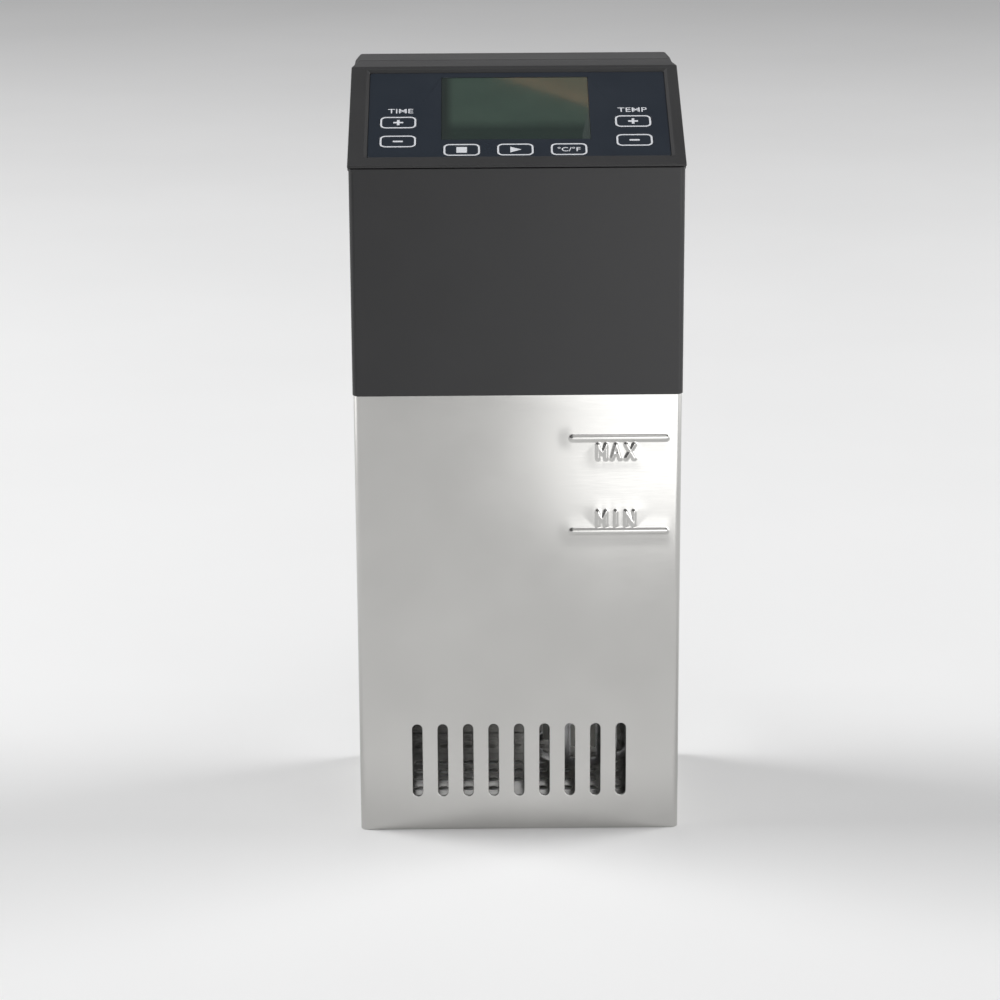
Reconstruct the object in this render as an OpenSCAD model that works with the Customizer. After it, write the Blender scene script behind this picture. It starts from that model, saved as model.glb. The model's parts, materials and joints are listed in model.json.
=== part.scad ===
// Sous vide circulator: a plastic body with a sloped control panel, on a
// rectangular steel skirt that holds the heater, the pump and the probes.
// X runs to the right seen from the front, Y to the back, Z up.
// The origin is the middle of the skirt's bottom face. Millimetres throughout.

/* [Body] */
// Width of the plastic body
body_w = 126; // [124:0.5:128]
// Depth of the plastic body, from its front wall to its back wall
body_d = 100; // [98:0.5:102]
// Height of the body's front wall
body_h = 87.3; // [85:0.1:92]
// Thickness of the moulded walls
wall = 2.4; // [2:0.1:2.6]
// Radius of the body's upright front edges
body_r = 2; // [1:0.5:3]
// Radius of the body's upright back edges
back_r = 4; // [2:0.5:5]
// Depth of the rear cover
rear_d = 20; // [19:0.5:22]
// Chamfer along the rear cover's two top edges
top_chamfer = 2.1; // [1.5:0.1:4.4]
// What is left of that chamfer where it runs out at the brow
brow_chamfer = 0.3; // [0.2:0.1:1.5]
// Gap left at each visible seam
seam = 0.3; // [0.2:0.05:0.4]

/* [Panel] */
// How far the head cover stands out past the body at the front and sides
head_lip = 0.4; // [0.3:0.1:0.6]
// Horizontal depth of the sloped panel
panel_d = 63.2; // [62.8:0.1:65]
// Rise of the sloped panel
panel_rise = 28; // [27:0.1:30]
// Height of the upright lip under the panel
lip_h = 1; // [0.8:0.1:1.6]
// How much lower the head cover's side walls reach than its front lip
side_drop = 1.6; // [1.2:0.1:2]
// Width of the panel film
film_w = 114.2; // [113:0.2:117]
// Distance of the panel film's middle to the right of the body's middle
film_x = 1; // [0:0.1:1.5]
// Length of the panel film, measured up the slope
film_l = 58.8; // [58.4:0.1:59]
// Distance from the front lip to the panel film
film_low = 7; // [6.6:0.1:7]
// Thickness of the panel film and of the display window
film_t = 0.9; // [0.8:0.1:1]
// Depth of the bevelled recess around the panel film
recess = 1; // [0.8:0.1:1.2]
// Width of the bevel around the panel film
bevel = 1.4; // [1:0.1:1.6]
// Width of the display window
window_w = 56.6; // [56:0.2:58]
// Length of the display window, up the slope
window_l = 43.6; // [43:0.1:44]
// Distance from the front lip to the display window
window_low = 18.9; // [18.5:0.1:19.2]

/* [Keys] */
// Width of one key
key_w = 14; // [13:0.2:15]
// Length of one key, up the slope
key_l = 8.2; // [7.6:0.2:8.4]
// Corner radius of one key
key_r = 2.4; // [1.5:0.1:3]
// Gap between a key and the film around it
key_gap = 0.12; // [0.1:0.01:0.2]
// How far a key travels inwards
key_travel = 0.4; // [0.2:0.05:0.45]
// Distance of the side keys from the middle
side_key_x = 44.7; // [44:0.1:45]
// Distance between the keys of the lower row
row_key_pitch = 20.2; // [20:0.1:21]
// Distance of the lower row's middle to the left of the body's middle
row_key_left = 0.4; // [0:0.1:0.5]

/* [Skirt] */
// Height of the steel skirt
skirt_h = 177; // [175:1:179]
// Width of the steel skirt
skirt_w = 125.4; // [125:0.1:125.6]
// Depth of the steel skirt
skirt_d = 84; // [83.5:0.1:84.5]
// Thickness of the skirt's sheet
sheet = 1; // [0.8:0.1:1]
// Radius of the skirt's upright edges
skirt_r = 2.5; // [2:0.1:3]
// Height that the pressed level marks stand proud
emboss = 0.7; // [0.4:0.1:0.8]

/* [Drive] */
// Distance of the motor's axis to the right of the middle
motor_x = 26; // [25:0.5:27]
// Radius of the shafts
shaft_r = 2.5; // [2.5:0.1:2.5]
// Radial running clearance of the shafts in their bearings
run_gap = 0.05; // [0.03:0.01:0.08]
// Radius of the motor's housing
motor_r = 24; // [23:0.5:24.5]
// Radius of the cooling fan
fan_r = 21; // [18:0.5:22]
// Number of blades on the cooling fan
fan_blades = 7; // [5:1:9]
// Radius of the impeller
impeller_r = 16; // [14:0.5:16.5]
// Number of blades on the impeller
impeller_blades = 6; // [4:1:8]

/* [Heater] */
// Radius of the tubular heating element
heater_r = 4; // [3.5:0.1:4]
// Distance between neighbouring legs of the heating element
leg_pitch = 14; // [13.5:0.1:14]
// Height of the heating element's lowest bend above the base
heater_low = 34; // [30:1:40]

/* [Rim clamp] */
// Free gap between the skirt and the pressure pad at rest
jaw_gap = 15; // [14:0.5:16]
// Travel of the pressure pad towards the skirt
pad_in = 12; // [10:0.5:12]
// Travel of the pressure pad away from the skirt
pad_out = 8; // [6:0.5:8]
// Height of the clamp screw above the base
clamp_z = 150; // [148:1:152]
// Width of the clamp bracket
bracket_w = 44; // [42:1:46]
// Thickness of the clamp bracket's plate
bracket_t = 3; // [2.5:0.1:3]
// Radius of the clamp knob
knob_r = 18; // [16:0.5:20]

/* [Hidden] */

$fn = 48;
arc_steps = 5;
// Margin by which a cutting shape runs past the surface it cuts
over = 1;

// Body: places worked out from the driving dimensions
half_w = body_w / 2;
front_y = -skirt_d / 2 - 0.3;
back_y = front_y + body_d;
parting_y = back_y - rear_d;
base_z = skirt_h;
front_top_z = base_z + body_h;
lip_low_z = front_top_z + seam;
lip_z = lip_low_z + lip_h;
head_low_z = lip_low_z - side_drop;
side_top_z = head_low_z - seam;
top_z = lip_z + panel_rise;
head_half_w = half_w + head_lip;
head_front_y = front_y - head_lip;
brow_y = head_front_y + panel_d;
panel_angle = atan(panel_rise / panel_d);
head_chamfer = top_chamfer + head_lip;
roof_turn = atan((head_chamfer - brow_chamfer) / (parting_y - brow_y) / sqrt(2));
inner_half_w = half_w - wall;
inner_front_y = front_y + wall;
inner_back_y = back_y - wall;

// Depths below the panel's surface
film_floor = recess + film_t;
deck_t = film_floor + wall;
pocket_floor = film_floor + 0.6;
lcd_top = film_floor + 0.1;
lcd_back = deck_t + 5;
stem_end = 7.2;
board_top = 11.4;
board_t = 1.6;
board_back = board_top + board_t;
switch_h = 3;
plunger_top = stem_end + key_travel + 0.1;

// Floor of the housing and the seal on it
floor_t = 4;
floor_top = base_z + floor_t;
seal_t = 1.2;
ledge_z = floor_top + seal_t;
ledge = 3;
ledge_h = 2;
spigot_h = 12;
spigot_t = 3;
fit_gap = 0.2;
// Raised rest under the floor, for a pot's rim
rest_h = 1;
spigot_x = skirt_w / 2 - sheet - fit_gap;
spigot_y = skirt_d / 2 - sheet - fit_gap;

// Keys: [x, distance up the slope], in the order of their nodes
row_key_v = 11.8;
low_key_v = 17.8;
high_key_v = 30.8;
KEYS = [
    [-side_key_x, high_key_v], [-side_key_x, low_key_v],
    [-row_key_left - row_key_pitch, row_key_v], [-row_key_left, row_key_v],
    [-row_key_left + row_key_pitch, row_key_v],
    [side_key_x, high_key_v], [side_key_x, low_key_v]
];
stem_r = 1.6;
stem_hole_r = 2.2;

// Screws
screw_r = 1.5;
screw_head_r = 2.8;
screw_head_h = 2.2;
boss_x = 56.4;
boss_r = 4.8;
boss_l = 14;
boss_z = [base_z + 17, base_z + 69];
head_boss_r = 4;
head_boss_x = 56.6;
head_boss_y = [-14, 24];
head_tab_z = head_low_z - 6.5;
boss_clip_z = head_low_z - 20;
head_tab_t = 3.8;

// Boards
board_half_w = 52;
board_low_v = 6;
board_high_v = 64;
peg_x = 48;
peg_v = [9.5, 60];
power_y = inner_back_y - 15.6;
power_front_y = power_y - board_t;
power_x = [-50, -2];
power_z = [186, 252];
power_screw_x = [-47, -5];
power_screw_z = [189, 249];

// Flat cable between the boards
ribbon_t = 0.8;
ribbon_x = [-17, -9];
ribbon_v = 58.5;
socket_h = 4;
ribbon_low_z = 245;
ribbon_back_y = power_front_y - ribbon_t / 2 - 0.05;
ribbon_steps = 10;
// Control points [y, z] of the curve that the cable hangs in
inward = [sin(panel_angle), -cos(panel_angle)];
ribbon_top = [head_front_y + ribbon_v * cos(panel_angle), lip_z + ribbon_v * sin(panel_angle)]
    + (board_back + socket_h + 0.02) * inward;
RIBBON = [ribbon_top, ribbon_top + 14 * inward, [ribbon_back_y, ribbon_low_z + 16],
          [ribbon_back_y, ribbon_low_z]];

// Drive: heights from the base
pillar_h = 13;
pillar_pitch = 20;
pillar_r = 3.5;
motor_z = floor_top + pillar_h;
flange_t = 2.5;
motor_floor = 5;
motor_wall = 1.4;
cup_top_z = motor_z + 34;
cap_t = 3;
bearing_r = 6.5;
bearing_t = 4;
shaft_top_z = cup_top_z + cap_t + 16;
fan_z = cup_top_z + cap_t + 5;
fan_t = 9;
coupling_z = floor_top + 2.6;
coupling_h = 8;
shafts_meet_z = coupling_z + coupling_h / 2;
pump_shaft_low_z = 18;
tube_r = 7;
tube_bore_r = 6;
tube_low_z = 46;
bush_t = 10;
impeller_z = 22;
impeller_h = 14;
guard_top_z = tube_low_z - 2;
seal_r = 7;

// Heater and probes
heater_x = -48;
heater_top_z = floor_top + 9;
heater_bend_z = 150;
heater_low_z = heater_low + leg_pitch / 2;
fitting_bore_r = heater_r + 0.02;
barrel_r = 5;
temp_probe = [-12, 27];
temp_probe_r = 3;
level_probe_r = 1.5;
LEVEL_PROBES = [[-30, 30, 96], [-42, 30, 70]];

// Level marks: heights of the lines above the base, and the letters beside them
max_z = skirt_h - 17.2;
min_z = skirt_h - 54.4;
mark_x = [20, 57.6];
mark_r = 1;
letter_h = 6.6;
letter_w = 4.1;
letter_pitch = 5.4;
letter_t = 1;
letters_x = 30.2;
max_text_z = skirt_h - 25.8;
min_text_z = skirt_h - 52.5;

// Each letter is a list of strokes on a grid of 1 by 1
LETTERS = [
    ["M", [[[0, 0], [0, 1]], [[0, 1], [0.5, 0.35]], [[0.5, 0.35], [1, 1]], [[1, 1], [1, 0]]]],
    ["A", [[[0, 0], [0.5, 1]], [[0.5, 1], [1, 0]], [[0.2, 0.35], [0.8, 0.35]]]],
    ["X", [[[0, 0], [1, 1]], [[0, 1], [1, 0]]]],
    ["I", [[[0.5, 0], [0.5, 1]]]],
    ["N", [[[0, 0], [0, 1]], [[0, 1], [1, 0]], [[1, 0], [1, 1]]]]
];

// Water slots and screws of the skirt
SLOT_Z = [14, 44];
slot_w = 4;
slot_pitch = 10;
SKIRT_SCREWS = [-50, -26, 26, 50];
skirt_screw_z = base_z - 7;
flush_r = 2.6;
flush_h = skirt_d / 2 - spigot_y - 0.1;

// Clamp: places along Y, behind the skirt
jaw_y = skirt_d / 2;
pad_y = jaw_y + jaw_gap;
pad_face_t = 2;
pad_t = 5;
pad_r = 14;
pad_back_y = pad_y + pad_face_t + pad_t;
bracket_in_y = pad_back_y + pad_out + 1;
bracket_out_y = bracket_in_y + bracket_t;
bracket_shelf_z = base_z + 7;
bracket_top_z = base_z + 53;
bracket_low_z = clamp_z - 18;
bend_r = 5;
nut_t = 6;
nut_end_y = bracket_out_y + nut_t;
knob_y = nut_end_y + pad_in + 1;
knob_t = 15;
thread_r = 4;
tip_r = 3;
bolt_x = 14;
BOLT_Z = [base_z + 20, base_z + 44];
bolt_r = 2;

// Cord gland
gland_x = -34;
gland_z = 200;
gland_bore_r = 3.8;
gland_r = 6;

// ---- shared shapes ----

function corner(cx, cy, r, start) =
    [for (i = [0:arc_steps]) [cx + r * cos(start + 90 * i / arc_steps),
                              cy + r * sin(start + 90 * i / arc_steps)]];

function rounded(x0, x1, y0, y1, r) = concat(
    corner(x1 - r, y1 - r, r, 0), corner(x0 + r, y1 - r, r, 90),
    corner(x0 + r, y0 + r, r, 180), corner(x1 - r, y0 + r, r, 270));

// Outline with two rounded corners at the front and a square back
function front_rounded(x, y0, y1, r) = concat(
    [[x, y1], [-x, y1]], corner(-x + r, y0 + r, r, 180), corner(x - r, y0 + r, r, 270));

// Outline with a square front and two rounded corners at the back
function back_rounded(x, y0, y1, r) = concat(
    corner(x - r, y1 - r, r, 0), corner(-x + r, y1 - r, r, 90), [[-x, y0], [x, y0]]);

// Stands an outline drawn in X and Y up from z0 to z1
module upright(z0, z1) {
    translate([0, 0, z0]) linear_extrude(z1 - z0) children();
}

// Runs an outline drawn in Y and Z along X, from x0 to x1
module along_x(x0, x1) {
    translate([x0, 0, 0]) rotate([90, 0, 90]) linear_extrude(x1 - x0) children();
}

// Runs an outline drawn in X and Z along Y, from y0 to y1
module along_y(y0, y1) {
    translate([0, y1, 0]) rotate([90, 0, 0]) linear_extrude(y1 - y0) children();
}

module block(x0, x1, y0, y1, z0, z1) {
    translate([x0, y0, z0]) cube([x1 - x0, y1 - y0, z1 - z0]);
}

module rod_x(x0, x1, y, z, r) {
    translate([x0, y, z]) rotate([0, 90, 0]) cylinder(h = x1 - x0, r = r);
}

module rod_y(x, z, y0, y1, r) {
    translate([x, y0, z]) rotate([-90, 0, 0]) cylinder(h = y1 - y0, r = r);
}

module rod_z(x, y, z0, z1, r) {
    translate([x, y, z0]) cylinder(h = z1 - z0, r = r);
}

module ring_z(x, y, z0, z1, r_out, r_in) {
    difference() {
        rod_z(x, y, z0, z1, r_out);
        rod_z(x, y, z0 - over, z1 + over, r_in);
    }
}

module hex_z(x, y, z0, z1, r, bore) {
    difference() {
        translate([x, y, z0]) cylinder(h = z1 - z0, r = r, $fn = 6);
        rod_z(x, y, z0 - over, z1 + over, bore);
    }
}

// Puts its children on the sloped panel: X across, Y up the slope, Z out of it
module on_panel() {
    translate([0, head_front_y, lip_z]) rotate([panel_angle, 0, 0]) children();
}

// A pan-head screw, head up, whose head rests on z = 0
module pan_screw(shank) {
    difference() {
        union() {
            cylinder(h = screw_head_h, r = screw_head_r);
            translate([0, 0, -shank]) cylinder(h = shank + 0.5, r = screw_r);
        }
        for (turn = [0, 90])
            rotate([0, 0, turn]) block(-1.6, 1.6, -0.4, 0.4, screw_head_h - 1.2, screw_head_h + over);
    }
}

module key_outline(grow) {
    polygon(rounded(-key_w / 2 - grow, key_w / 2 + grow, -key_l / 2 - grow, key_l / 2 + grow,
                    key_r + grow));
}

// ---- head cover ----

module head_profile() {
    polygon([[head_front_y, head_low_z], [head_front_y, lip_z], [brow_y, top_z],
             [parting_y, top_z], [parting_y, head_low_z]]);
}

// Place along Y where the deck's underside reaches height z
function deck_y(z) = head_front_y + (z - lip_z + deck_t / cos(panel_angle)) / tan(panel_angle);

// All that lies outside the roof's tapering end chamfers, taken depth further in
module past_roof_ends(depth) {
    for (side = [0, 1]) mirror([side, 0, 0])
        translate([head_half_w, parting_y, top_z - head_chamfer]) rotate([0, -45, 0])
            rotate([0, 0, roof_turn]) block(-depth, 12, -40, 10, -12, 12);
}

module head_hollow() {
    low = head_low_z - over;
    high = top_z - wall;
    difference() {
        along_x(-inner_half_w - head_lip, inner_half_w + head_lip)
            polygon([[deck_y(low), low], [deck_y(high), high], [parting_y + over, high],
                     [parting_y + over, low]]);
        past_roof_ends(wall);
    }
}

// The bevelled recess is where two wedge-sided channels cross
module recess_cut() {
    slope = bevel / recess;
    half = film_w / 2;
    rise = over * slope;
    film_high = film_low + film_l;
    on_panel() {
        intersection() {
            along_y(0, film_high + 10)
                polygon([[film_x - half, -recess], [film_x + half, -recess],
                         [film_x + half + bevel + rise, over],
                         [film_x - half - bevel - rise, over]]);
            along_x(-head_half_w, head_half_w)
                polygon([[film_low, -recess], [film_high, -recess],
                         [film_high + bevel + rise, over], [film_low - bevel - rise, over]]);
        }
        block(film_x - half, film_x + half, film_low, film_high, -film_floor, -recess + 0.01);
    }
}

module head_bosses() {
    for (side = [-1, 1], y = head_boss_y)
        rod_z(side * head_boss_x, y, head_tab_z + head_tab_t, top_z, head_boss_r);
    on_panel() for (side = [-1, 1], v = peg_v)
        rod_z(side * peg_x, v, -board_top, -deck_t + over, 2.5);
}

module head_cover() color("#3c3c3d") difference() {
    union() {
        difference() {
            along_x(-head_half_w, head_half_w) head_profile();
            head_hollow();
            block(-head_half_w - over, head_half_w + over, head_front_y - over,
                  inner_front_y + over, head_low_z - over, lip_low_z);
            past_roof_ends(0);
        }
        intersection() {
            along_x(-head_half_w, head_half_w)
                polygon([[inner_front_y, boss_clip_z], [head_front_y, lip_z], [brow_y, top_z],
                         [parting_y, top_z], [parting_y, boss_clip_z]]);
            head_bosses();
        }
    }
    recess_cut();
    on_panel() {
        block(-window_w / 2 + 1.5, window_w / 2 - 1.5, window_low + 1.5,
              window_low + window_l - 1.5, -deck_t - over, over);
        for (key = KEYS) translate([key[0], key[1], 0]) {
            translate([0, 0, -pocket_floor]) linear_extrude(over) key_outline(key_gap);
            rod_z(0, 0, -deck_t - over, 0, stem_hole_r);
        }
        for (side = [-1, 1], v = peg_v)
            rod_z(side * peg_x, v, -board_top - over, -film_floor - 1, screw_r);
    }
    for (side = [-1, 1], y = head_boss_y)
        rod_z(side * head_boss_x, y, head_tab_z, head_tab_z + head_tab_t + 8, screw_r);
}

// ---- body ----

module front_housing() color("#454546") difference() {
    union() {
        difference() {
            upright(base_z, front_top_z)
                polygon(front_rounded(half_w, front_y, parting_y, body_r));
            upright(base_z - over, front_top_z + over)
                polygon([[-inner_half_w, inner_front_y], [inner_half_w, inner_front_y],
                         [inner_half_w, parting_y + over], [-inner_half_w, parting_y + over]]);
            block(-half_w - over, half_w + over, inner_front_y - seam, parting_y + over,
                  side_top_z, front_top_z + over);
        }
        difference() {
            block(-inner_half_w - fit_gap, inner_half_w + fit_gap, inner_front_y - fit_gap,
                  parting_y, ledge_z, ledge_z + ledge_h);
            block(-inner_half_w + ledge, inner_half_w - ledge, inner_front_y + ledge,
                  parting_y + over, ledge_z - over, ledge_z + ledge_h + over);
        }
        for (side = [-1, 1], y = head_boss_y) translate([side * (inner_half_w - 6), y, 0])
            block(-6.4, 6.4, -5, 5, head_tab_z, head_tab_z + head_tab_t);
        for (side = [-1, 1], z = boss_z)
            rod_y(side * boss_x, z, parting_y - boss_l, parting_y, boss_r);
    }
    for (side = [-1, 1], y = head_boss_y)
        rod_z(side * head_boss_x, y, head_tab_z - over, head_tab_z + head_tab_t + over, screw_r);
    for (side = [-1, 1], z = boss_z)
        rod_y(side * boss_x, z, parting_y - boss_l + 2, parting_y + over, screw_r);
}

module chamfered(inset) {
    x = half_w - inset;
    high = top_z - inset;
    cut = top_chamfer - inset * 0.6;
    polygon([[-x, base_z - (inset > 0 ? over : 0)], [x, base_z - (inset > 0 ? over : 0)],
             [x, high - cut], [x - cut, high], [-x + cut, high], [-x, high - cut]]);
}

module rear_cover() color("#454546") difference() {
    union() {
        difference() {
            intersection() {
                along_y(parting_y + seam, back_y) chamfered(0);
                upright(base_z, top_z)
                    polygon(back_rounded(half_w, parting_y, back_y, back_r));
            }
            along_y(parting_y, inner_back_y) chamfered(wall);
        }
        difference() {
            block(-inner_half_w - fit_gap, inner_half_w + fit_gap, parting_y + seam,
                  inner_back_y + fit_gap, ledge_z, ledge_z + ledge_h);
            block(-inner_half_w + ledge, inner_half_w - ledge, parting_y, inner_back_y - ledge,
                  ledge_z - over, ledge_z + ledge_h + over);
        }
        for (side = [-1, 1], z = boss_z)
            rod_y(side * boss_x, z, parting_y + seam, inner_back_y + over, boss_r);
        for (x = power_screw_x, z = power_screw_z)
            rod_y(x, z, power_y, inner_back_y + over, 3.2);
    }
    for (side = [-1, 1], z = boss_z) {
        rod_y(side * boss_x, z, parting_y, back_y + over, screw_r + fit_gap);
        rod_y(side * boss_x, z, back_y - screw_head_h - 0.3, back_y + over,
              screw_head_r + fit_gap);
    }
    for (x = power_screw_x, z = power_screw_z)
        rod_y(x, z, power_y - over, power_y + 9, screw_r);
    for (x = [-bolt_x, bolt_x], z = BOLT_Z)
        rod_y(x, z, inner_back_y - over, back_y + over, bolt_r + 0.2);
    rod_y(gland_x, gland_z, inner_back_y - over, back_y + over, gland_r + 0.05);
    for (row = [0:4]) translate([0, 0, base_z + 78 + 5 * row]) {
        block(-38, 38, inner_back_y - over, back_y + over, 0, 2.4);
        for (side = [-1, 1]) translate([side * (half_w - wall / 2), 0, 0])
            block(-wall, wall, parting_y + 5, inner_back_y - 2, 0, 2.4);
    }
}

module housing_floor() color("#2c2c2e") difference() {
    union() {
        upright(base_z, floor_top)
            polygon(rounded(-inner_half_w + fit_gap, inner_half_w - fit_gap,
                            inner_front_y + fit_gap, inner_back_y - fit_gap, 1.5));
        difference() {
            upright(base_z - spigot_h, base_z)
                polygon(rounded(-spigot_x, spigot_x, -spigot_y, spigot_y, skirt_r - sheet));
            upright(base_z - spigot_h - over, base_z + over)
                polygon(rounded(-spigot_x + spigot_t, spigot_x - spigot_t, -spigot_y + spigot_t,
                                spigot_y - spigot_t, 1.5));
        }
        upright(base_z - 2, base_z + 2)
            polygon(rounded(-spigot_x + 2, spigot_x - 2, -spigot_y + 2, spigot_y - 2, 1.5));
        upright(base_z - rest_h, base_z + over)
            polygon(rounded(-bracket_w / 2, bracket_w / 2, jaw_y + 2.5, inner_back_y - ledge, 1));
        for (dx = [-1, 1], dy = [-1, 1])
            rod_z(motor_x + dx * pillar_pitch, dy * pillar_pitch, floor_top - over, motor_z,
                  pillar_r);
    }
    rod_z(motor_x, 0, base_z - 3, floor_top + over, seal_r);
    for (leg = [0, 3])
        rod_z(heater_x + leg * leg_pitch, 0, base_z - 3, floor_top + over, barrel_r);
    rod_z(temp_probe[0], temp_probe[1], base_z - 3, floor_top + over, 4.2);
    for (probe = LEVEL_PROBES) rod_z(probe[0], probe[1], base_z - 3, floor_top + over, 3.2);
    for (dx = [-1, 1], dy = [-1, 1])
        rod_z(motor_x + dx * pillar_pitch, dy * pillar_pitch, motor_z - 8, motor_z + over,
              screw_r);
    for (x = SKIRT_SCREWS)
        rod_y(x, skirt_screw_z, spigot_y - spigot_t - over, spigot_y + over, screw_r);
}

module floor_seal() color("#8f3b32") difference() {
    upright(floor_top, ledge_z)
        polygon(rounded(-inner_half_w + fit_gap, inner_half_w - fit_gap,
                        inner_front_y + fit_gap, inner_back_y - fit_gap, 1.5));
    upright(floor_top - over, ledge_z + over)
        polygon(rounded(-inner_half_w + ledge, inner_half_w - ledge, inner_front_y + ledge,
                        inner_back_y - ledge, 1));
}

module housing_screws() color("#9a9a9c") {
    for (side = [-1, 1], z = boss_z)
        translate([side * boss_x, back_y - screw_head_h - 0.3, z]) rotate([-90, 0, 0])
            pan_screw(rear_d + 5);
    for (side = [-1, 1], y = head_boss_y)
        translate([side * head_boss_x, y, head_tab_z]) rotate([180, 0, 0]) pan_screw(10);
}

// ---- control panel ----

module panel_film() color("#2b323b") on_panel() difference() {
    upright(-film_floor, -recess)
        polygon(rounded(film_x - film_w / 2 + 0.1, film_x + film_w / 2 - 0.1, film_low + 0.1,
                        film_low + film_l - 0.1, 1.2));
    block(-window_w / 2 - 0.05, window_w / 2 + 0.05, window_low - 0.05,
          window_low + window_l + 0.05, -film_floor - over, 0);
    for (key = KEYS) translate([key[0], key[1], -film_floor - over])
        linear_extrude(film_floor + over) key_outline(key_gap);
}

module lcd_window() color("#5a6f62") on_panel()
    block(-window_w / 2, window_w / 2, window_low, window_low + window_l, -film_floor, -recess);

module lcd_module() color("#42514a") on_panel() {
    block(-32, 32, window_low - 3, window_low + window_l + 2.5, -lcd_back, -deck_t - 0.1);
    block(-window_w / 2 + 1.7, window_w / 2 - 1.7, window_low + 1.7, window_low + window_l - 1.7,
          -deck_t - 0.1, -lcd_top);
}

module control_board() color("#1f6b45") on_panel() difference() {
    union() {
        block(-board_half_w, board_half_w, board_low_v, board_high_v, -board_back, -board_top);
        block(-8, 6, 28, 42, -board_back - 1.6, -board_back);
        block(16, 26, 32, 38, -board_back - 1.4, -board_back);
        block(ribbon_x[0] - 1, ribbon_x[1] + 1, ribbon_v - 2.5, ribbon_v + 2.5,
              -board_back - socket_h, -board_back);
    }
    for (side = [-1, 1], v = peg_v)
        rod_z(side * peg_x, v, -board_back - over, -board_top + over, screw_r);
}

module tact_switches() color("#26262a") on_panel() for (key = KEYS)
    translate([key[0], key[1], -board_top]) {
        block(-3, 3, -3, 3, 0, switch_h);
        rod_z(0, 0, switch_h, board_top - plunger_top, 1.3);
    }

module buzzer() color("#1c1c1e") on_panel() difference() {
    rod_z(-36, 40, -board_back - 7, -board_back, 6);
    rod_z(-36, 40, -board_back - 7 - over, -board_back - 5, 1);
}

module key(place) color("#2f3741") on_panel() translate([place[0], place[1], 0]) {
    translate([0, 0, -film_floor]) linear_extrude(film_t) key_outline(0);
    rod_z(0, 0, -stem_end, -film_floor, stem_r);
}

module key_time_plus() key(KEYS[0]);
module key_time_minus() key(KEYS[1]);
module key_stop() key(KEYS[2]);
module key_start() key(KEYS[3]);
module key_unit() key(KEYS[4]);
module key_temp_plus() key(KEYS[5]);
module key_temp_minus() key(KEYS[6]);

// ---- power board ----

module power_board() color("#1f6b45") difference() {
    block(power_x[0], power_x[1], power_front_y, power_y, power_z[0], power_z[1]);
    for (x = power_screw_x, z = power_screw_z)
        rod_y(x, z, power_front_y - over, power_y + over, screw_r);
}

// Laminated core with the coil around its middle limb
module transformer() {
    color("#77797c") difference() {
        block(-48, -22, power_front_y - 20, power_front_y - 6, 194, 224);
        for (x = [-43.5, -32.5])
            block(x, x + 6, power_front_y - 20 - over, power_front_y - 6 + over, 199, 219);
    }
    color("#b4552d") difference() {
        block(-43.3, -26.7, power_front_y - 24, power_front_y, 199.4, 218.6);
        block(-37.6, -32.4, power_front_y - 20.1, power_front_y - 5.9, 199, 219);
    }
}

module smoothing_capacitor() color("#2a3550") {
    rod_y(-10, 233, power_front_y - 19, power_front_y, 6);
    rod_y(-10, 233, power_front_y - 19.6, power_front_y - 19, 5);
}

module filter_capacitor() color("#c9a227")
    block(-48, -32, power_front_y - 11, power_front_y, 227, 238);

module triac() color("#222224") {
    block(-21.9, -17.5, power_front_y - 12, power_front_y - 3, 229, 239);
    for (z = [231, 234, 237]) rod_y(-19.5, z, power_front_y - 3, power_front_y, 0.5);
}

module heat_sink() color("#a9adb0") difference() {
    block(-30.5, -22, power_front_y - 18, power_front_y, 227, 243);
    for (gap = [0:3])
        block(-30.5 - over, -24, power_front_y - 16.5 + 4 * gap, power_front_y - 14.3 + 4 * gap,
              226, 244);
}

module fuse() color("#c8cdd0") {
    rod_x(-47, -33, power_front_y - 5, 243, 2.5);
    for (x = [-47, -36]) block(x, x + 3, power_front_y - 2.6, power_front_y, 241, 245);
}

module terminal_block() color("#2f7d46") difference() {
    block(-20, -4, power_front_y - 11, power_front_y, 213, 223);
    for (pole = [0:2]) {
        rod_y(-17.2 + 5.2 * pole, 216, power_front_y - 11 - over, power_front_y - 4, 1.6);
        rod_z(-17.2 + 5.2 * pole, power_front_y - 5.5, 219, 224, 1.9);
    }
}

// A point on the cable's curve, and the curve's direction there, for t from 0 to 1
function curve(p, t) = pow(1 - t, 3) * p[0] + 3 * pow(1 - t, 2) * t * p[1]
    + 3 * (1 - t) * t * t * p[2] + pow(t, 3) * p[3];
function heading(p, t) = pow(1 - t, 2) * (p[1] - p[0]) + 2 * (1 - t) * t * (p[2] - p[1])
    + t * t * (p[3] - p[2]);
function beside(p, t, off) = curve(p, t)
    + off * [-heading(p, t)[1], heading(p, t)[0]] / norm(heading(p, t));

// Flat cable from the control board's socket down to the power board
module ribbon_cable() color("#8f9297") along_x(ribbon_x[0], ribbon_x[1]) polygon(concat(
    [for (i = [0:ribbon_steps]) beside(RIBBON, i / ribbon_steps, ribbon_t / 2)],
    [for (i = [ribbon_steps:-1:0]) beside(RIBBON, i / ribbon_steps, -ribbon_t / 2)]));

module internal_screws() color("#b3b5b7") {
    for (x = power_screw_x, z = power_screw_z)
        translate([x, power_front_y, z]) rotate([90, 0, 0]) pan_screw(9);
    on_panel() for (side = [-1, 1], v = peg_v)
        translate([side * peg_x, v, -board_back]) rotate([180, 0, 0]) pan_screw(9);
    for (dx = [-1, 1], dy = [-1, 1])
        translate([motor_x + dx * pillar_pitch, dy * pillar_pitch, motor_z + flange_t])
            pan_screw(9);
}

// ---- motor ----

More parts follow.
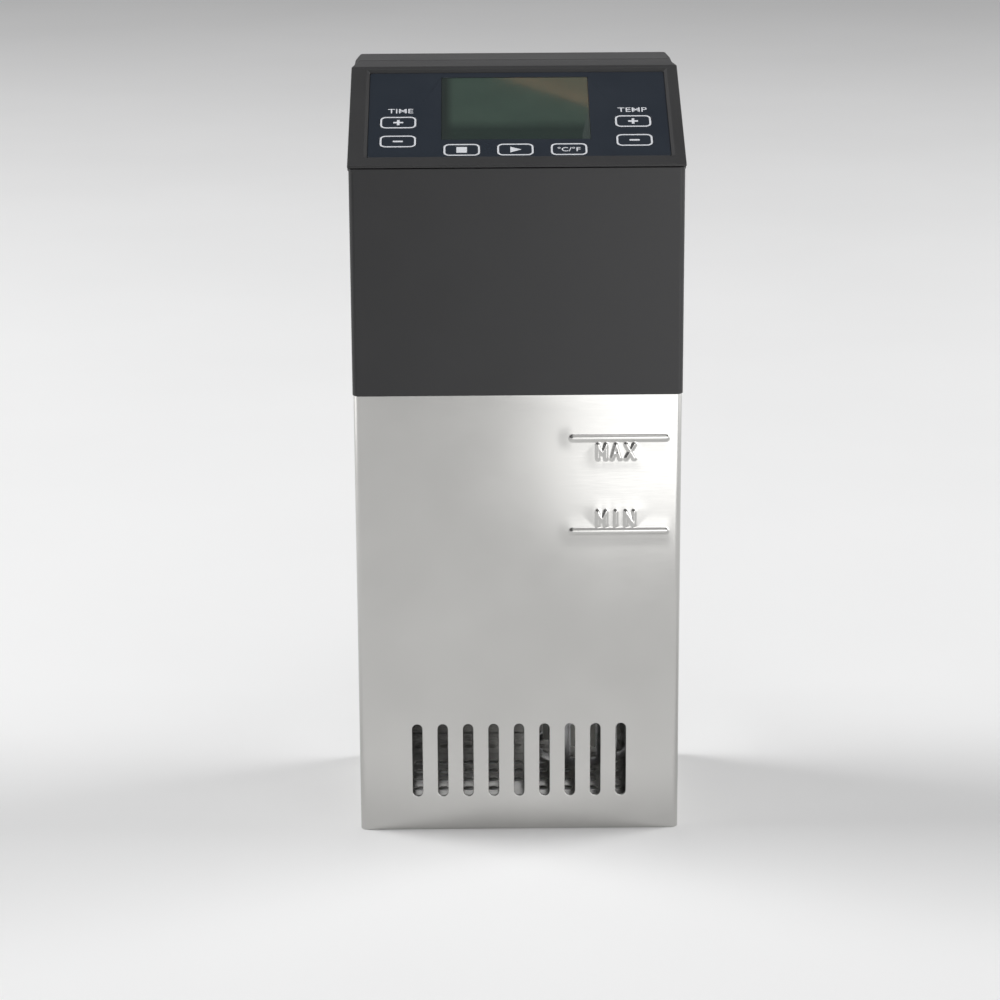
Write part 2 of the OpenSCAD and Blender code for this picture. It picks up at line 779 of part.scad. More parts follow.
module motor_housing() color("#8d9093") difference() {
    union() {
        upright(motor_z, motor_z + flange_t) translate([motor_x, 0])
            polygon(rounded(-24, 24, -24, 24, 4));
        rod_z(motor_x, 0, motor_z, cup_top_z, motor_r);
    }
    rod_z(motor_x, 0, motor_z + motor_floor, cup_top_z + over, motor_r - motor_wall);
    rod_z(motor_x, 0, motor_z - over, motor_z + motor_floor + over, bearing_r);
    for (dx = [-1, 1], dy = [-1, 1])
        rod_z(motor_x + dx * pillar_pitch, dy * pillar_pitch, motor_z - over, cup_top_z,
              screw_head_r + fit_gap);
}

module motor_cap() color("#a2a5a8") difference() {
    union() {
        rod_z(motor_x, 0, cup_top_z, cup_top_z + cap_t, motor_r);
        rod_z(motor_x, 0, cup_top_z - 2, cup_top_z + cap_t + 2, 9);
    }
    rod_z(motor_x, 0, cup_top_z - 3, cup_top_z + cap_t + 3, bearing_r);
    for (i = [0:5]) rotate_about_motor(60 * i)
        rod_z(16, 0, cup_top_z - over, cup_top_z + cap_t + over, 3);
}

module rotate_about_motor(angle) {
    translate([motor_x, 0, 0]) rotate([0, 0, angle]) children();
}

// Laminated ring with six inward poles, and a coil on each pole
module motor_stator() {
    low = motor_z + motor_floor + 5;
    high = cup_top_z - 7;
    ring = motor_r - motor_wall - 0.1;
    color("#5f6266") difference() {
        rod_z(motor_x, 0, low, high, ring);
        rod_z(motor_x, 0, low - over, high + over, ring - 3);
    }
    for (i = [0:5]) rotate_about_motor(60 * i) {
        color("#5f6266") block(12.4, ring - 2.5, -2, 2, low, high);
        color("#b4622d") difference() {
            block(13.5, 19, -4, 4, low - 3, high + 3);
            block(13, 19.5, -2.05, 2.05, low - 0.05, high + 0.05);
        }
    }
}

module motor_rotor() color("#6d7176")
    ring_z(motor_x, 0, motor_z + motor_floor + 4, cup_top_z - 6, 11.8, shaft_r);

module motor_bearings() color("#c4c7ca") {
    for (z = [motor_z + 0.5, cup_top_z + 0.5])
        ring_z(motor_x, 0, z, z + bearing_t, bearing_r, shaft_r + run_gap);
}

module motor_shaft() color("#d0d2d4")
    rod_z(motor_x, 0, shafts_meet_z + 0.2, shaft_top_z, shaft_r);

module cooling_fan() color("#33363a") {
    difference() {
        union() {
            rod_z(motor_x, 0, fan_z, fan_z + fan_t, 7);
            for (i = [0:fan_blades - 1]) rotate_about_motor(360 / fan_blades * i)
                intersection() {
                    translate([0, 0, fan_z + fan_t / 2]) rotate([35, 0, 0])
                        block(5, fan_r, -6, 6, -0.6, 0.6);
                    block(0, fan_r, -8, 8, fan_z, fan_z + fan_t);
                }
        }
        rod_z(motor_x, 0, fan_z - over, fan_z + fan_t + over, shaft_r);
    }
}

module shaft_coupling() color("#bfa25a") difference() {
    rod_z(motor_x, 0, coupling_z, coupling_z + coupling_h, 6);
    rod_z(motor_x, 0, coupling_z - over, coupling_z + coupling_h + over, shaft_r);
    for (dz = [2, 6]) rod_x(motor_x, motor_x + 7, 0, coupling_z + dz, 1);
}

// ---- pump ----

module pump_shaft() color("#d0d2d4")
    rod_z(motor_x, 0, pump_shaft_low_z, shafts_meet_z - 0.2, shaft_r);

module shaft_seal() color("#8f3b32") difference() {
    union() {
        rod_z(motor_x, 0, base_z - 1, floor_top + 1, seal_r);
        rod_z(motor_x, 0, floor_top, floor_top + 1.2, 9);
    }
    rod_z(motor_x, 0, base_z - 2, floor_top + 3, shaft_r + run_gap);
}

module shaft_tube() color("#c4c7ca") difference() {
    union() {
        rod_z(motor_x, 0, tube_low_z, base_z - 3, tube_r);
        rod_z(motor_x, 0, base_z - 5, base_z - 2, 11);
    }
    rod_z(motor_x, 0, tube_low_z - over, base_z, tube_bore_r);
    for (z = [70, 100, 130]) rod_x(motor_x - 10, motor_x + 10, 0, z, 1.5);
}

module shaft_bush() color("#bfa25a")
    ring_z(motor_x, 0, tube_low_z, tube_low_z + bush_t, tube_bore_r - 0.02, shaft_r + run_gap);

module impeller() color("#e4e4e0") difference() {
    union() {
        rod_z(motor_x, 0, impeller_z - 2, impeller_z + impeller_h, 5);
        rod_z(motor_x, 0, impeller_z + impeller_h - 2, impeller_z + impeller_h, impeller_r);
        for (i = [0:impeller_blades - 1]) rotate_about_motor(360 / impeller_blades * i)
            block(4, impeller_r - 0.4, -0.9, 0.9, impeller_z, impeller_z + impeller_h - 1);
    }
    rod_z(motor_x, 0, impeller_z - 4, impeller_z + impeller_h + over, shaft_r);
}

module impeller_guard() color("#c4c7ca") difference() {
    union() {
        ring_z(motor_x, 0, impeller_z - 4, guard_top_z, 19.5, 18.3);
        ring_z(motor_x, 0, guard_top_z - 0.01, guard_top_z + 1.5, 19.5, tube_r);
    }
    for (i = [0:5]) rotate_about_motor(60 * i + 30)
        block(15, 22, -5, 5, impeller_z - 1, impeller_z + impeller_h - 1);
    rod_z(motor_x, 0, guard_top_z - over, guard_top_z + 3, tube_r);
}

// ---- heater and probes ----

module u_bend(x, z, angle) {
    translate([x, 0, z]) rotate([90, angle, 0]) rotate_extrude(angle = 180)
        translate([leg_pitch / 2, 0]) circle(r = heater_r);
}

module heating_element() color("#9ea1a3") {
    tops = [heater_top_z, heater_bend_z, heater_bend_z, heater_top_z];
    for (leg = [0:3])
        rod_z(heater_x + leg * leg_pitch, 0, heater_low_z, tops[leg], heater_r);
    for (bend = [0, 2]) u_bend(heater_x + (bend + 0.5) * leg_pitch, heater_low_z, 180);
    u_bend(heater_x + 1.5 * leg_pitch, heater_bend_z, 0);
    for (leg = [0, 3])
        rod_z(heater_x + leg * leg_pitch, 0, heater_top_z - over, heater_top_z + 7, 1.5);
}

module heater_fittings() color("#c2a35a") {
    for (leg = [0, 3]) {
        x = heater_x + leg * leg_pitch;
        ring_z(x, 0, base_z - 3, floor_top, barrel_r, fitting_bore_r);
        ring_z(x, 0, base_z - 5, base_z - 3, 7, fitting_bore_r);
        hex_z(x, 0, floor_top, floor_top + 5, 7.5, fitting_bore_r);
    }
}

module thermal_cutoff() color("#d9d4c6") {
    x = heater_x + 1.5 * leg_pitch;
    rod_z(x, 0, floor_top, floor_top + 6, 8);
    for (side = [-1, 1]) block(x + 4 * side - 1.5, x + 4 * side + 1.5, -0.4, 0.4,
                               floor_top + 6, floor_top + 13);
}

module temperature_probe() color("#c9ccce") {
    rod_z(temp_probe[0], temp_probe[1], 62, floor_top + 8, temp_probe_r);
    translate([temp_probe[0], temp_probe[1], 62]) sphere(r = temp_probe_r);
}

module level_probes() color("#c9ccce") for (probe = LEVEL_PROBES)
    rod_z(probe[0], probe[1], probe[2], floor_top + 10, level_probe_r);

module probe_fittings() {
    color("#c2a35a") {
        ring_z(temp_probe[0], temp_probe[1], base_z - 3, floor_top, 4.2, temp_probe_r + 0.02);
        hex_z(temp_probe[0], temp_probe[1], floor_top, floor_top + 5, 6, temp_probe_r + 0.02);
    }
    color("#ececea") for (probe = LEVEL_PROBES) {
        ring_z(probe[0], probe[1], base_z - 6, floor_top, 3.2, level_probe_r + 0.02);
        ring_z(probe[0], probe[1], floor_top, floor_top + 5, 4.6, level_probe_r + 0.02);
    }
}

// ---- skirt ----

// A raised stroke between two points, drawn in X and Z, with blunt round ends
module stroke(a, b) {
    run = b - a;
    translate(a) rotate(atan2(run[1], run[0])) {
        translate([0, -letter_t / 2]) square([norm(run), letter_t]);
        for (end = [0, norm(run)]) translate([end, 0]) circle(d = letter_t, $fn = 12);
    }
}

module word(letters, z) {
    box_w = letter_w - letter_t;
    box_h = letter_h - letter_t;
    for (i = [0:len(letters) - 1], entry = LETTERS) if (entry[0] == letters[i])
        translate([letters_x + letter_t / 2 + i * letter_pitch, z + letter_t / 2])
            for (line = entry[1]) stroke([line[0][0] * box_w, line[0][1] * box_h],
                                         [line[1][0] * box_w, line[1][1] * box_h]);
}

module level_marks() {
    along_y(-skirt_d / 2 - emboss, -skirt_d / 2 + 0.3) {
        word("MAX", max_text_z);
        word("MIN", min_text_z);
        for (z = [max_z, min_z])
            polygon(rounded(mark_x[0], mark_x[1], z - mark_r, z + mark_r, mark_r * 0.8));
    }
}

module slot_y(x, z0, z1, w, y0, y1) {
    block(x - w / 2, x + w / 2, y0, y1, z0 + w / 2, z1 - w / 2);
    for (z = [z0 + w / 2, z1 - w / 2]) rod_y(x, z, y0, y1, w / 2);
}

module slot_x(y, z0, z1, w, x0, x1) {
    block(x0, x1, y - w / 2, y + w / 2, z0 + w / 2, z1 - w / 2);
    for (z = [z0 + w / 2, z1 - w / 2]) rod_x(x0, x1, y, z, w / 2);
}

module steel_skirt() color("#c9c9c6") {
    x = skirt_w / 2;
    y = skirt_d / 2;
    difference() {
        union() {
            upright(0, skirt_h) polygon(rounded(-x, x, -y, y, skirt_r));
            level_marks();
        }
        upright(-over, skirt_h + over)
            polygon(rounded(-x + sheet, x - sheet, -y + sheet, y - sheet, skirt_r - sheet));
        for (i = [-4:4])
            slot_y(i * slot_pitch, SLOT_Z[0], SLOT_Z[1], slot_w, -y - over, -y + sheet + over);
        for (i = [-4:4])
            slot_y(i * slot_pitch, SLOT_Z[0], SLOT_Z[1], slot_w, y - sheet - over, y + over);
        for (i = [-2:2], side = [-1, 1])
            translate([side * (x - sheet / 2), 0, 0])
                slot_x(i * slot_pitch, SLOT_Z[0], SLOT_Z[1], slot_w, -sheet - over, sheet + over);
        for (place = SKIRT_SCREWS)
            rod_y(place, skirt_screw_z, y - sheet - over, y + over, flush_r + 0.1);
    }
}

module skirt_base() color("#b9bbbb") {
    x = skirt_w / 2 - sheet - 0.1;
    y = skirt_d / 2 - sheet - 0.1;
    difference() {
        upright(0, 10) polygon(rounded(-x, x, -y, y, skirt_r - sheet));
        upright(sheet, 10 + over)
            polygon(rounded(-x + sheet, x - sheet, -y + sheet, y - sheet, 0.8));
        for (col = [-5:5], row = [-3:3]) if (abs(col) + abs(row) > 0)
            rod_z(10 * col, 10 * row, -over, sheet + over, 2.4);
    }
}

// Flat heads that sit in the sheet and end just under its face
module skirt_screws() color("#b3b5b7") for (x = SKIRT_SCREWS)
    translate([x, spigot_y, skirt_screw_z]) rotate([-90, 0, 0]) difference() {
        union() {
            cylinder(h = flush_h, r = flush_r);
            translate([0, 0, -4.3]) cylinder(h = 4.3 + 0.5, r = screw_r);
        }
        for (turn = [0, 90])
            rotate([0, 0, turn]) block(-1.6, 1.6, -0.4, 0.4, flush_h - 0.7, flush_h + over);
    }

// ---- rim clamp ----

module bracket_profile() {
    polygon(concat(
        [[back_y, bracket_top_z], [back_y, bracket_shelf_z]],
        [[bracket_in_y - bend_r, bracket_shelf_z]],
        [for (a = [90:-18:0]) [bracket_in_y - bend_r + bend_r * cos(a),
                               bracket_shelf_z - bend_r + bend_r * sin(a)]],
        [[bracket_in_y, bracket_low_z], [bracket_out_y, bracket_low_z]],
        [for (a = [0:15:90]) [bracket_in_y - bend_r + (bend_r + bracket_t) * cos(a),
                              bracket_shelf_z - bend_r + (bend_r + bracket_t) * sin(a)]],
        [[back_y + bracket_t, bracket_shelf_z + bracket_t], [back_y + bracket_t, bracket_top_z]]));
}

module clamp_bracket() color("#3a3a3c") difference() {
    union() {
        intersection() {
            along_x(-bracket_w / 2, bracket_w / 2) bracket_profile();
            along_y(back_y - over, bracket_out_y + over)
                polygon(rounded(-bracket_w / 2, bracket_w / 2, bracket_low_z, bracket_top_z, 8));
        }
        for (side = [-1, 1]) translate([side * (bracket_w / 2 - 1.25), 0, 0])
            along_x(-1.25, 1.25)
                polygon([[back_y + 1, bracket_shelf_z + 1], [bracket_in_y - 4, bracket_shelf_z + 1],
                         [back_y + 1, bracket_shelf_z + 24]]);
    }
    rod_y(0, clamp_z, bracket_in_y - over, bracket_out_y + over, thread_r + 0.4);
    for (x = [-bolt_x, bolt_x], z = BOLT_Z)
        rod_y(x, z, back_y - over, back_y + bracket_t + over, bolt_r + 0.2);
}

module clamp_bolts() {
    for (x = [-bolt_x, bolt_x], z = BOLT_Z) {
        color("#b3b5b7") difference() {
            union() {
                rod_y(x, z, back_y + bracket_t, back_y + bracket_t + 2.6, 3.6);
                rod_y(x, z, inner_back_y - 5, back_y + bracket_t + 0.5, bolt_r);
            }
            translate([x, back_y + bracket_t + 1.2, z]) rotate([-90, 0, 0])
                cylinder(h = 3, r = 1.5, $fn = 6);
        }
        color("#9a9a9c") difference() {
            translate([x, inner_back_y - 3.2, z]) rotate([-90, 0, 0])
                cylinder(h = 3.2, r = 4, $fn = 6);
            rod_y(x, z, inner_back_y - 5, inner_back_y + over, bolt_r + 0.02);
        }
    }
}

module clamp_nut() color("#9a9a9c") difference() {
    translate([0, bracket_out_y, clamp_z]) rotate([-90, 0, 0])
        cylinder(h = nut_t, r = 8, $fn = 6);
    rod_y(0, clamp_z, bracket_out_y - over, nut_end_y + over, thread_r + run_gap);
}

module clamp_screw() color("#b3b5b7") {
    rod_y(0, clamp_z, pad_y + pad_face_t + 1.8, pad_back_y + 2, tip_r);
    rod_y(0, clamp_z, pad_back_y + 2, knob_y + 11, thread_r);
}

module clamp_knob() color("#2c2c2e") difference() {
    union() {
        rod_y(0, clamp_z, knob_y, knob_y + 4, 9);
        rod_y(0, clamp_z, knob_y + 3, knob_y + knob_t, knob_r - 4);
        for (i = [0:5]) translate([0, 0, clamp_z]) rotate([0, 60 * i, 0])
            rod_y(knob_r - 5.5, 0, knob_y + 3, knob_y + knob_t, 5.5);
    }
    rod_y(0, clamp_z, knob_y - over, knob_y + 11, thread_r);
}

module pressure_pad() color("#8b8e91") difference() {
    union() {
        rod_y(0, clamp_z, pad_y + pad_face_t, pad_y + pad_face_t + 3, pad_r);
        rod_y(0, clamp_z, pad_y + pad_face_t + 2, pad_back_y, 7);
    }
    rod_y(0, clamp_z, pad_y + pad_face_t + 1.5, pad_back_y + over, tip_r + run_gap);
}

module pad_face() color("#2a2a2a")
    rod_y(0, clamp_z, pad_y, pad_y + pad_face_t, pad_r);

// ---- cord gland ----

module cord_gland() {
    color("#2c2c2e") difference() {
        union() {
            rod_y(gland_x, gland_z, inner_back_y - 9, back_y + over, gland_r);
            rod_y(gland_x, gland_z, back_y, back_y + 4, 8.5);
        }
        rod_y(gland_x, gland_z, inner_back_y - 10, back_y + 5, gland_bore_r);
    }
    color("#9a9a9c") difference() {
        translate([gland_x, inner_back_y - 4, gland_z]) rotate([-90, 0, 0])
            cylinder(h = 4, r = 9, $fn = 6);
        rod_y(gland_x, gland_z, inner_back_y - 5, inner_back_y + over, gland_r + 0.02);
    }
}

head_cover();
front_housing();
rear_cover();
housing_floor();
floor_seal();
housing_screws();
panel_film();
lcd_window();
lcd_module();
control_board();
tact_switches();
buzzer();
key_time_plus();
key_time_minus();
key_stop();
key_start();
key_unit();
key_temp_plus();
key_temp_minus();
power_board();
transformer();
smoothing_capacitor();
filter_capacitor();
triac();
heat_sink();
fuse();
terminal_block();
ribbon_cable();
internal_screws();
motor_housing();
motor_cap();
motor_stator();
motor_rotor();
motor_bearings();
motor_shaft();
cooling_fan();
shaft_coupling();
pump_shaft();
shaft_seal();
shaft_tube();
shaft_bush();
impeller();
impeller_guard();
heating_element();
heater_fittings();
thermal_cutoff();
temperature_probe();
level_probes();
probe_fittings();
steel_skirt();
skirt_base();
skirt_screws();
clamp_bracket();
clamp_bolts();
clamp_nut();
clamp_screw();
clamp_knob();
pressure_pad();
pad_face();
cord_gland();
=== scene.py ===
"""Looks of a sous vide circulator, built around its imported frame.

Everything is in metres in the frame's own axes: X to the right seen from the
control panel, Y to the back, Z up from the bottom of the steel skirt. Sizes
named in millimetres are turned into metres where they are used.
"""

import json
import math

import bmesh
import bpy
from mathutils import Matrix, Vector

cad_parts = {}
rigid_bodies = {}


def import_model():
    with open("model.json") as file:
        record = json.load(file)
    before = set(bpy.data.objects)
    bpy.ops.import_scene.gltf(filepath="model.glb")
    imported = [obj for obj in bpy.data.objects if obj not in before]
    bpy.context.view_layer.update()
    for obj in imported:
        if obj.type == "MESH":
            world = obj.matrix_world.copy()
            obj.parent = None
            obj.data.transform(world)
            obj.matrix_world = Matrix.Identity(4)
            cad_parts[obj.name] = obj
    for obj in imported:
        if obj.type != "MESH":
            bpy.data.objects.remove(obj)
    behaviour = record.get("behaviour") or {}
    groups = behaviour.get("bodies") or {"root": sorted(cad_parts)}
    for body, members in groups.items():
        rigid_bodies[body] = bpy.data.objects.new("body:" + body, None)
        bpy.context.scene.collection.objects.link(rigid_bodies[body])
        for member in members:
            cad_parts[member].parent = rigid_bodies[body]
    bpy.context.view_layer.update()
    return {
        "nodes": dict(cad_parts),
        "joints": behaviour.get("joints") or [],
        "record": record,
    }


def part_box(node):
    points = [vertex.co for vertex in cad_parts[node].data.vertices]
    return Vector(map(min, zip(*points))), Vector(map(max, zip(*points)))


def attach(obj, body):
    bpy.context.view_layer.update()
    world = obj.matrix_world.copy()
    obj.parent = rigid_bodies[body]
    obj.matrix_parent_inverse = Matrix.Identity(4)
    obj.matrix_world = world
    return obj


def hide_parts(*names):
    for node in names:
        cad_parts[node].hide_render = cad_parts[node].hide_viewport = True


MM = 0.001

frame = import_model()
record = frame["record"]
slot_of = {part["node"]: part["material_slot"] for part in record["subparts"]}
body_with = {node: body for body, nodes in record["behaviour"]["bodies"].items() for node in nodes}


# ---- camera ----

SENSOR = 36.0
CAMERA_PLACE = (-17.1, -1200.0, 466.2)
CAMERA_YAW = math.radians(-0.5)
CAMERA_PITCH = math.radians(15.94)
CAMERA_ROLL = math.radians(-0.31)
FIELD = 0.3193  # the sensor's width over the focal length


def add_camera():
    """The camera stands in front of the panel, a little above it, and looks down."""
    forward = Vector((-math.sin(CAMERA_YAW) * math.cos(CAMERA_PITCH),
                      math.cos(CAMERA_YAW) * math.cos(CAMERA_PITCH), -math.sin(CAMERA_PITCH)))
    level = Vector((math.cos(CAMERA_YAW), math.sin(CAMERA_YAW), 0))
    above = level.cross(forward)
    right = level * math.cos(CAMERA_ROLL) + above * math.sin(CAMERA_ROLL)
    up = above * math.cos(CAMERA_ROLL) - level * math.sin(CAMERA_ROLL)
    camera = bpy.data.objects.new("camera", bpy.data.cameras.new("camera"))
    camera.data.sensor_width = SENSOR
    camera.data.lens = SENSOR / FIELD
    camera.data.clip_start = 0.01
    turn = Matrix((right, up, -forward)).transposed().to_4x4()
    camera.matrix_world = Matrix.Translation(Vector(CAMERA_PLACE) * MM) @ turn
    bpy.context.scene.collection.objects.link(camera)
    bpy.context.scene.camera = camera


add_camera()


# ---- materials ----


class Nodes:
    """A material's node tree with short calls for the few nodes that are used."""

    def __init__(self, name):
        self.material = bpy.data.materials.new(name)
        self.material.use_nodes = True
        self.tree = self.material.node_tree
        self.shader = next(n for n in self.tree.nodes if n.type == "BSDF_PRINCIPLED")
        self.place = self.tree.nodes.new("ShaderNodeTexCoord").outputs["Object"]

    def add(self, kind, **settings):
        node = self.tree.nodes.new(kind)
        for key, value in settings.items():
            setattr(node, key, value)
        return node

    def link(self, source, target):
        self.tree.links.new(source, target)

    def stretched(self, scale):
        """Object coordinates with each axis scaled."""
        mapping = self.add("ShaderNodeMapping")
        mapping.inputs["Scale"].default_value = scale
        self.link(self.place, mapping.inputs["Vector"])
        return mapping.outputs["Vector"]

    def noise(self, scale, detail=2.0, rough=0.5, place=None):
        node = self.add("ShaderNodeTexNoise")
        node.inputs["Scale"].default_value = scale
        node.inputs["Detail"].default_value = detail
        node.inputs["Roughness"].default_value = rough
        self.link(place or self.place, node.inputs["Vector"])
        return node.outputs["Fac"]

    def spread(self, value, low, high, start=0.3, end=0.7):
        """value taken from start..end to low..high."""
        node = self.add("ShaderNodeMapRange")
        self.link(value, node.inputs["Value"])
        node.inputs["From Min"].default_value = start
        node.inputs["From Max"].default_value = end
        node.inputs["To Min"].default_value = low
        node.inputs["To Max"].default_value = high
        return node.outputs["Result"]

    def math(self, operation, first, second):
        node = self.add("ShaderNodeMath", operation=operation)
        for socket, value in zip(node.inputs, (first, second)):
            if isinstance(value, (int, float)):
                socket.default_value = value
            else:
                self.link(value, socket)
        return node.outputs["Value"]

    def blend(self, factor, first, second):
        """Colour first where factor is 0 and second where it is 1."""
        node = self.add("ShaderNodeMix", data_type="RGBA")
        self.link(factor, node.inputs["Factor"])
        for socket, value in zip((node.inputs[6], node.inputs[7]), (first, second)):
            if isinstance(value, tuple):
                socket.default_value = (*value, 1.0)
            else:
                self.link(value, socket)
        return node.outputs[2]

    def bump(self, heights, strength):
        """heights is a list of (value, depth in metres), laid over each other."""
        normal = None
        for value, depth in heights:
            node = self.add("ShaderNodeBump")
            node.inputs["Strength"].default_value = strength
            node.inputs["Distance"].default_value = depth
            self.link(value, node.inputs["Height"])
            if normal is not None:
                self.link(normal, node.inputs["Normal"])
            normal = node.outputs["Normal"]
        self.link(normal, self.shader.inputs["Normal"])

    def set(self, **values):
        for key, value in values.items():
            socket = self.shader.inputs[key.replace("_", " ")]
            if isinstance(value, tuple):
                socket.default_value = (*value, 1.0)
            elif isinstance(value, (int, float)):
                socket.default_value = value
            else:
                self.link(value, socket)


def shade(colour, amount):
    return tuple(min(1.0, c * amount) for c in colour)


def plastic(name, colour, rough=0.42, grain=0.0005, depth=0.000012, specular=0.4, mottle=0.06):
    """Moulded plastic: a fine spark-eroded grain with slow changes in tone and gloss."""
    n = Nodes(name)
    fine = n.noise(1 / grain, detail=3)
    coarse = n.noise(1 / (grain * 3.2), detail=1)
    slow = n.noise(28, detail=3)
    n.set(Base_Color=n.blend(n.spread(slow, 0, 1), shade(colour, 1 - mottle),
                             shade(colour, 1 + mottle)),
          Roughness=n.math("ADD", n.spread(slow, rough - 0.03, rough + 0.03),
                           n.spread(fine, -0.03, 0.03)),
          Specular_IOR_Level=specular)
    n.bump([(fine, depth), (coarse, depth * 1.2)], 0.6)
    return n.material


def metal(name, colour, rough=0.25, stretch=(1, 1, 1), grain=0.0002, depth=0.000004,
          lean=0.0, wear=0.04):
    """Bare metal: fine grain, drawn out along an axis where stretch is small."""
    n = Nodes(name)
    lines = n.noise(1 / grain, detail=4, rough=0.6, place=n.stretched(stretch))
    cloud = n.noise(22, detail=3)
    n.set(Base_Color=n.blend(n.spread(cloud, 0, 1), shade(colour, 1 - wear),
                             shade(colour, 1 + wear)),
          Roughness=n.math("ADD", n.spread(lines, rough - 0.04, rough + 0.04),
                           n.spread(cloud, -0.015, 0.015)),
          Metallic=1.0)
    if lean:
        tangent = n.add("ShaderNodeTangent", direction_type="RADIAL", axis="Z")
        n.link(tangent.outputs["Tangent"], n.shader.inputs["Tangent"])
        n.set(Anisotropic=lean)
    n.bump([(lines, depth)], 0.5)
    return n.material


def rubber(name, colour):
    """Matt rubber with a dusty bloom."""
    n = Nodes(name)
    bloom = n.noise(260, detail=4)
    pores = n.noise(2600, detail=2)
    n.set(Base_Color=n.blend(n.spread(bloom, 0, 1), colour, shade(colour, 1.5)),
          Roughness=n.spread(bloom, 0.68, 0.82), Specular_IOR_Level=0.25)
    n.bump([(pores, 0.00003)], 0.6)
    return n.material


def film_material():
    """Glossy blue-black overlay: faint orange peel and a very slight haze."""
    n = Nodes("film")
    peel = n.noise(420, detail=1)
    haze = n.noise(45, detail=4)
    n.set(Base_Color=n.blend(n.spread(haze, 0, 1), (0.0120, 0.0185, 0.0285),
                             (0.0150, 0.0215, 0.0320)),
          Roughness=n.spread(haze, 0.27, 0.33), Specular_IOR_Level=0.5)
    n.bump([(peel, 0.000006)], 0.35)
    return n.material


def print_material():
    """Screen-printed off-white ink."""
    n = Nodes("legend_ink")
    speck = n.noise(3200, detail=2)
    n.set(Base_Color=n.blend(n.spread(speck, 0, 1), (0.60, 0.62, 0.66), (0.72, 0.73, 0.76)),
          Roughness=n.spread(speck, 0.42, 0.55), Specular_IOR_Level=0.3)
    n.bump([(speck, 0.000004)], 0.5)
    return n.material


def window_material():
    """Thin clear pane: nearly all of the display shows through it."""
    n = Nodes("window")
    smear = n.noise(60, detail=3)
    n.set(Base_Color=(0.05, 0.07, 0.06), Roughness=n.spread(smear, 0.02, 0.06),
          Alpha=n.spread(smear, 0.10, 0.14), Specular_IOR_Level=1.0)
    return n.material


def circuit_material():
    """Green solder mask with faint copper tracks under it."""
    n = Nodes("circuit_board")
    tracks = n.add("ShaderNodeTexBrick", offset=0.5)
    tracks.inputs["Scale"].default_value = 160
    tracks.inputs["Mortar Size"].default_value = 0.06
    n.link(n.place, tracks.inputs["Vector"])
    n.set(Base_Color=n.blend(tracks.outputs["Fac"], (0.012, 0.10, 0.045), (0.03, 0.19, 0.08)),
          Roughness=n.spread(n.noise(300), 0.25, 0.4))
    n.bump([(tracks.outputs["Fac"], 0.00002)], 0.4)
    return n.material


def laminated_material():
    """Stacked steel sheets seen edge on."""
    n = Nodes("laminated_steel")
    bands = n.add("ShaderNodeTexWave", wave_type="BANDS", bands_direction="Z")
    bands.inputs["Scale"].default_value = 600
    bands.inputs["Distortion"].default_value = 0.4
    n.link(n.place, bands.inputs["Vector"])
    n.set(Base_Color=n.blend(bands.outputs["Fac"], (0.13, 0.13, 0.14), (0.26, 0.26, 0.27)),
          Roughness=n.spread(n.noise(900), 0.4, 0.55), Metallic=1.0)
    n.bump([(bands.outputs["Fac"], 0.00004)], 0.6)
    return n.material


MATERIALS = {
    "head_plastic": plastic("head_plastic", (0.034, 0.034, 0.035), rough=0.48, specular=0.28),
    "body_plastic": plastic("body_plastic", (0.032, 0.032, 0.033), rough=0.42, specular=0.3),
    "film": film_material(),
    "window": window_material(),
    "lcd": plastic("lcd_frame", (0.012, 0.014, 0.013), rough=0.5, mottle=0.02),
    "skirt_steel": metal("skirt_steel", (0.55, 0.545, 0.53), rough=0.18, stretch=(0.03, 0.03, 1),
                         grain=0.00022, depth=0.0000022, lean=0.35),
    "steel_part": metal("steel_part", (0.56, 0.56, 0.57), rough=0.24),
    "steel_screw": metal("steel_screw", (0.48, 0.48, 0.49), rough=0.28, wear=0.1),
    "laminated_steel": laminated_material(),
    "aluminium_part": metal("aluminium_part", (0.60, 0.61, 0.62), rough=0.42, grain=0.0006,
                            depth=0.00002),
    "brass_part": metal("brass_part", (0.66, 0.50, 0.22), rough=0.26, wear=0.08),
    "silicone": rubber("silicone", (0.30, 0.08, 0.06)),
    "rubber_face": rubber("rubber_face", (0.022, 0.022, 0.022)),
    "black_plastic": plastic("black_plastic", (0.022, 0.022, 0.024), rough=0.45, grain=0.0006),
    "white_plastic": plastic("white_plastic", (0.74, 0.74, 0.70), rough=0.38),
    "yellow_plastic": plastic("yellow_plastic", (0.60, 0.38, 0.03), rough=0.25),
    "green_plastic": plastic("green_plastic", (0.04, 0.22, 0.08), rough=0.4),
    "circuit_board": circuit_material(),
    "capacitor_sleeve": plastic("capacitor_sleeve", (0.03, 0.05, 0.12), rough=0.22),
    "fuse_glass": plastic("fuse_glass", (0.60, 0.62, 0.64), rough=0.12, specular=0.6),
    "ribbon": plastic("ribbon", (0.30, 0.31, 0.33), rough=0.4),
    "clamp_paint": plastic("clamp_paint", (0.032, 0.032, 0.034), rough=0.38, grain=0.0009,
                           depth=0.00003),
}
INK = print_material()

for node, cad_object in frame["nodes"].items():
    cad_object.data.materials.clear()
    cad_object.data.materials.append(MATERIALS[slot_of[node]])


# ---- making pieces ----


def piece(name, mesh, node, material=None, smooth=True, stands_for=True):
    """A new piece that rides with a CAD node's body, and takes its place if stands_for is set."""
    obj = bpy.data.objects.new(name, mesh)
    bpy.context.scene.collection.objects.link(obj)
    mesh.materials.clear()
    mesh.materials.append(material or MATERIALS[slot_of[node]])
    if smooth:
        mesh.shade_smooth()
    else:
        mesh.shade_flat()
    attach(obj, body_with[node])
    if stands_for:
        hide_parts(node)
    return obj


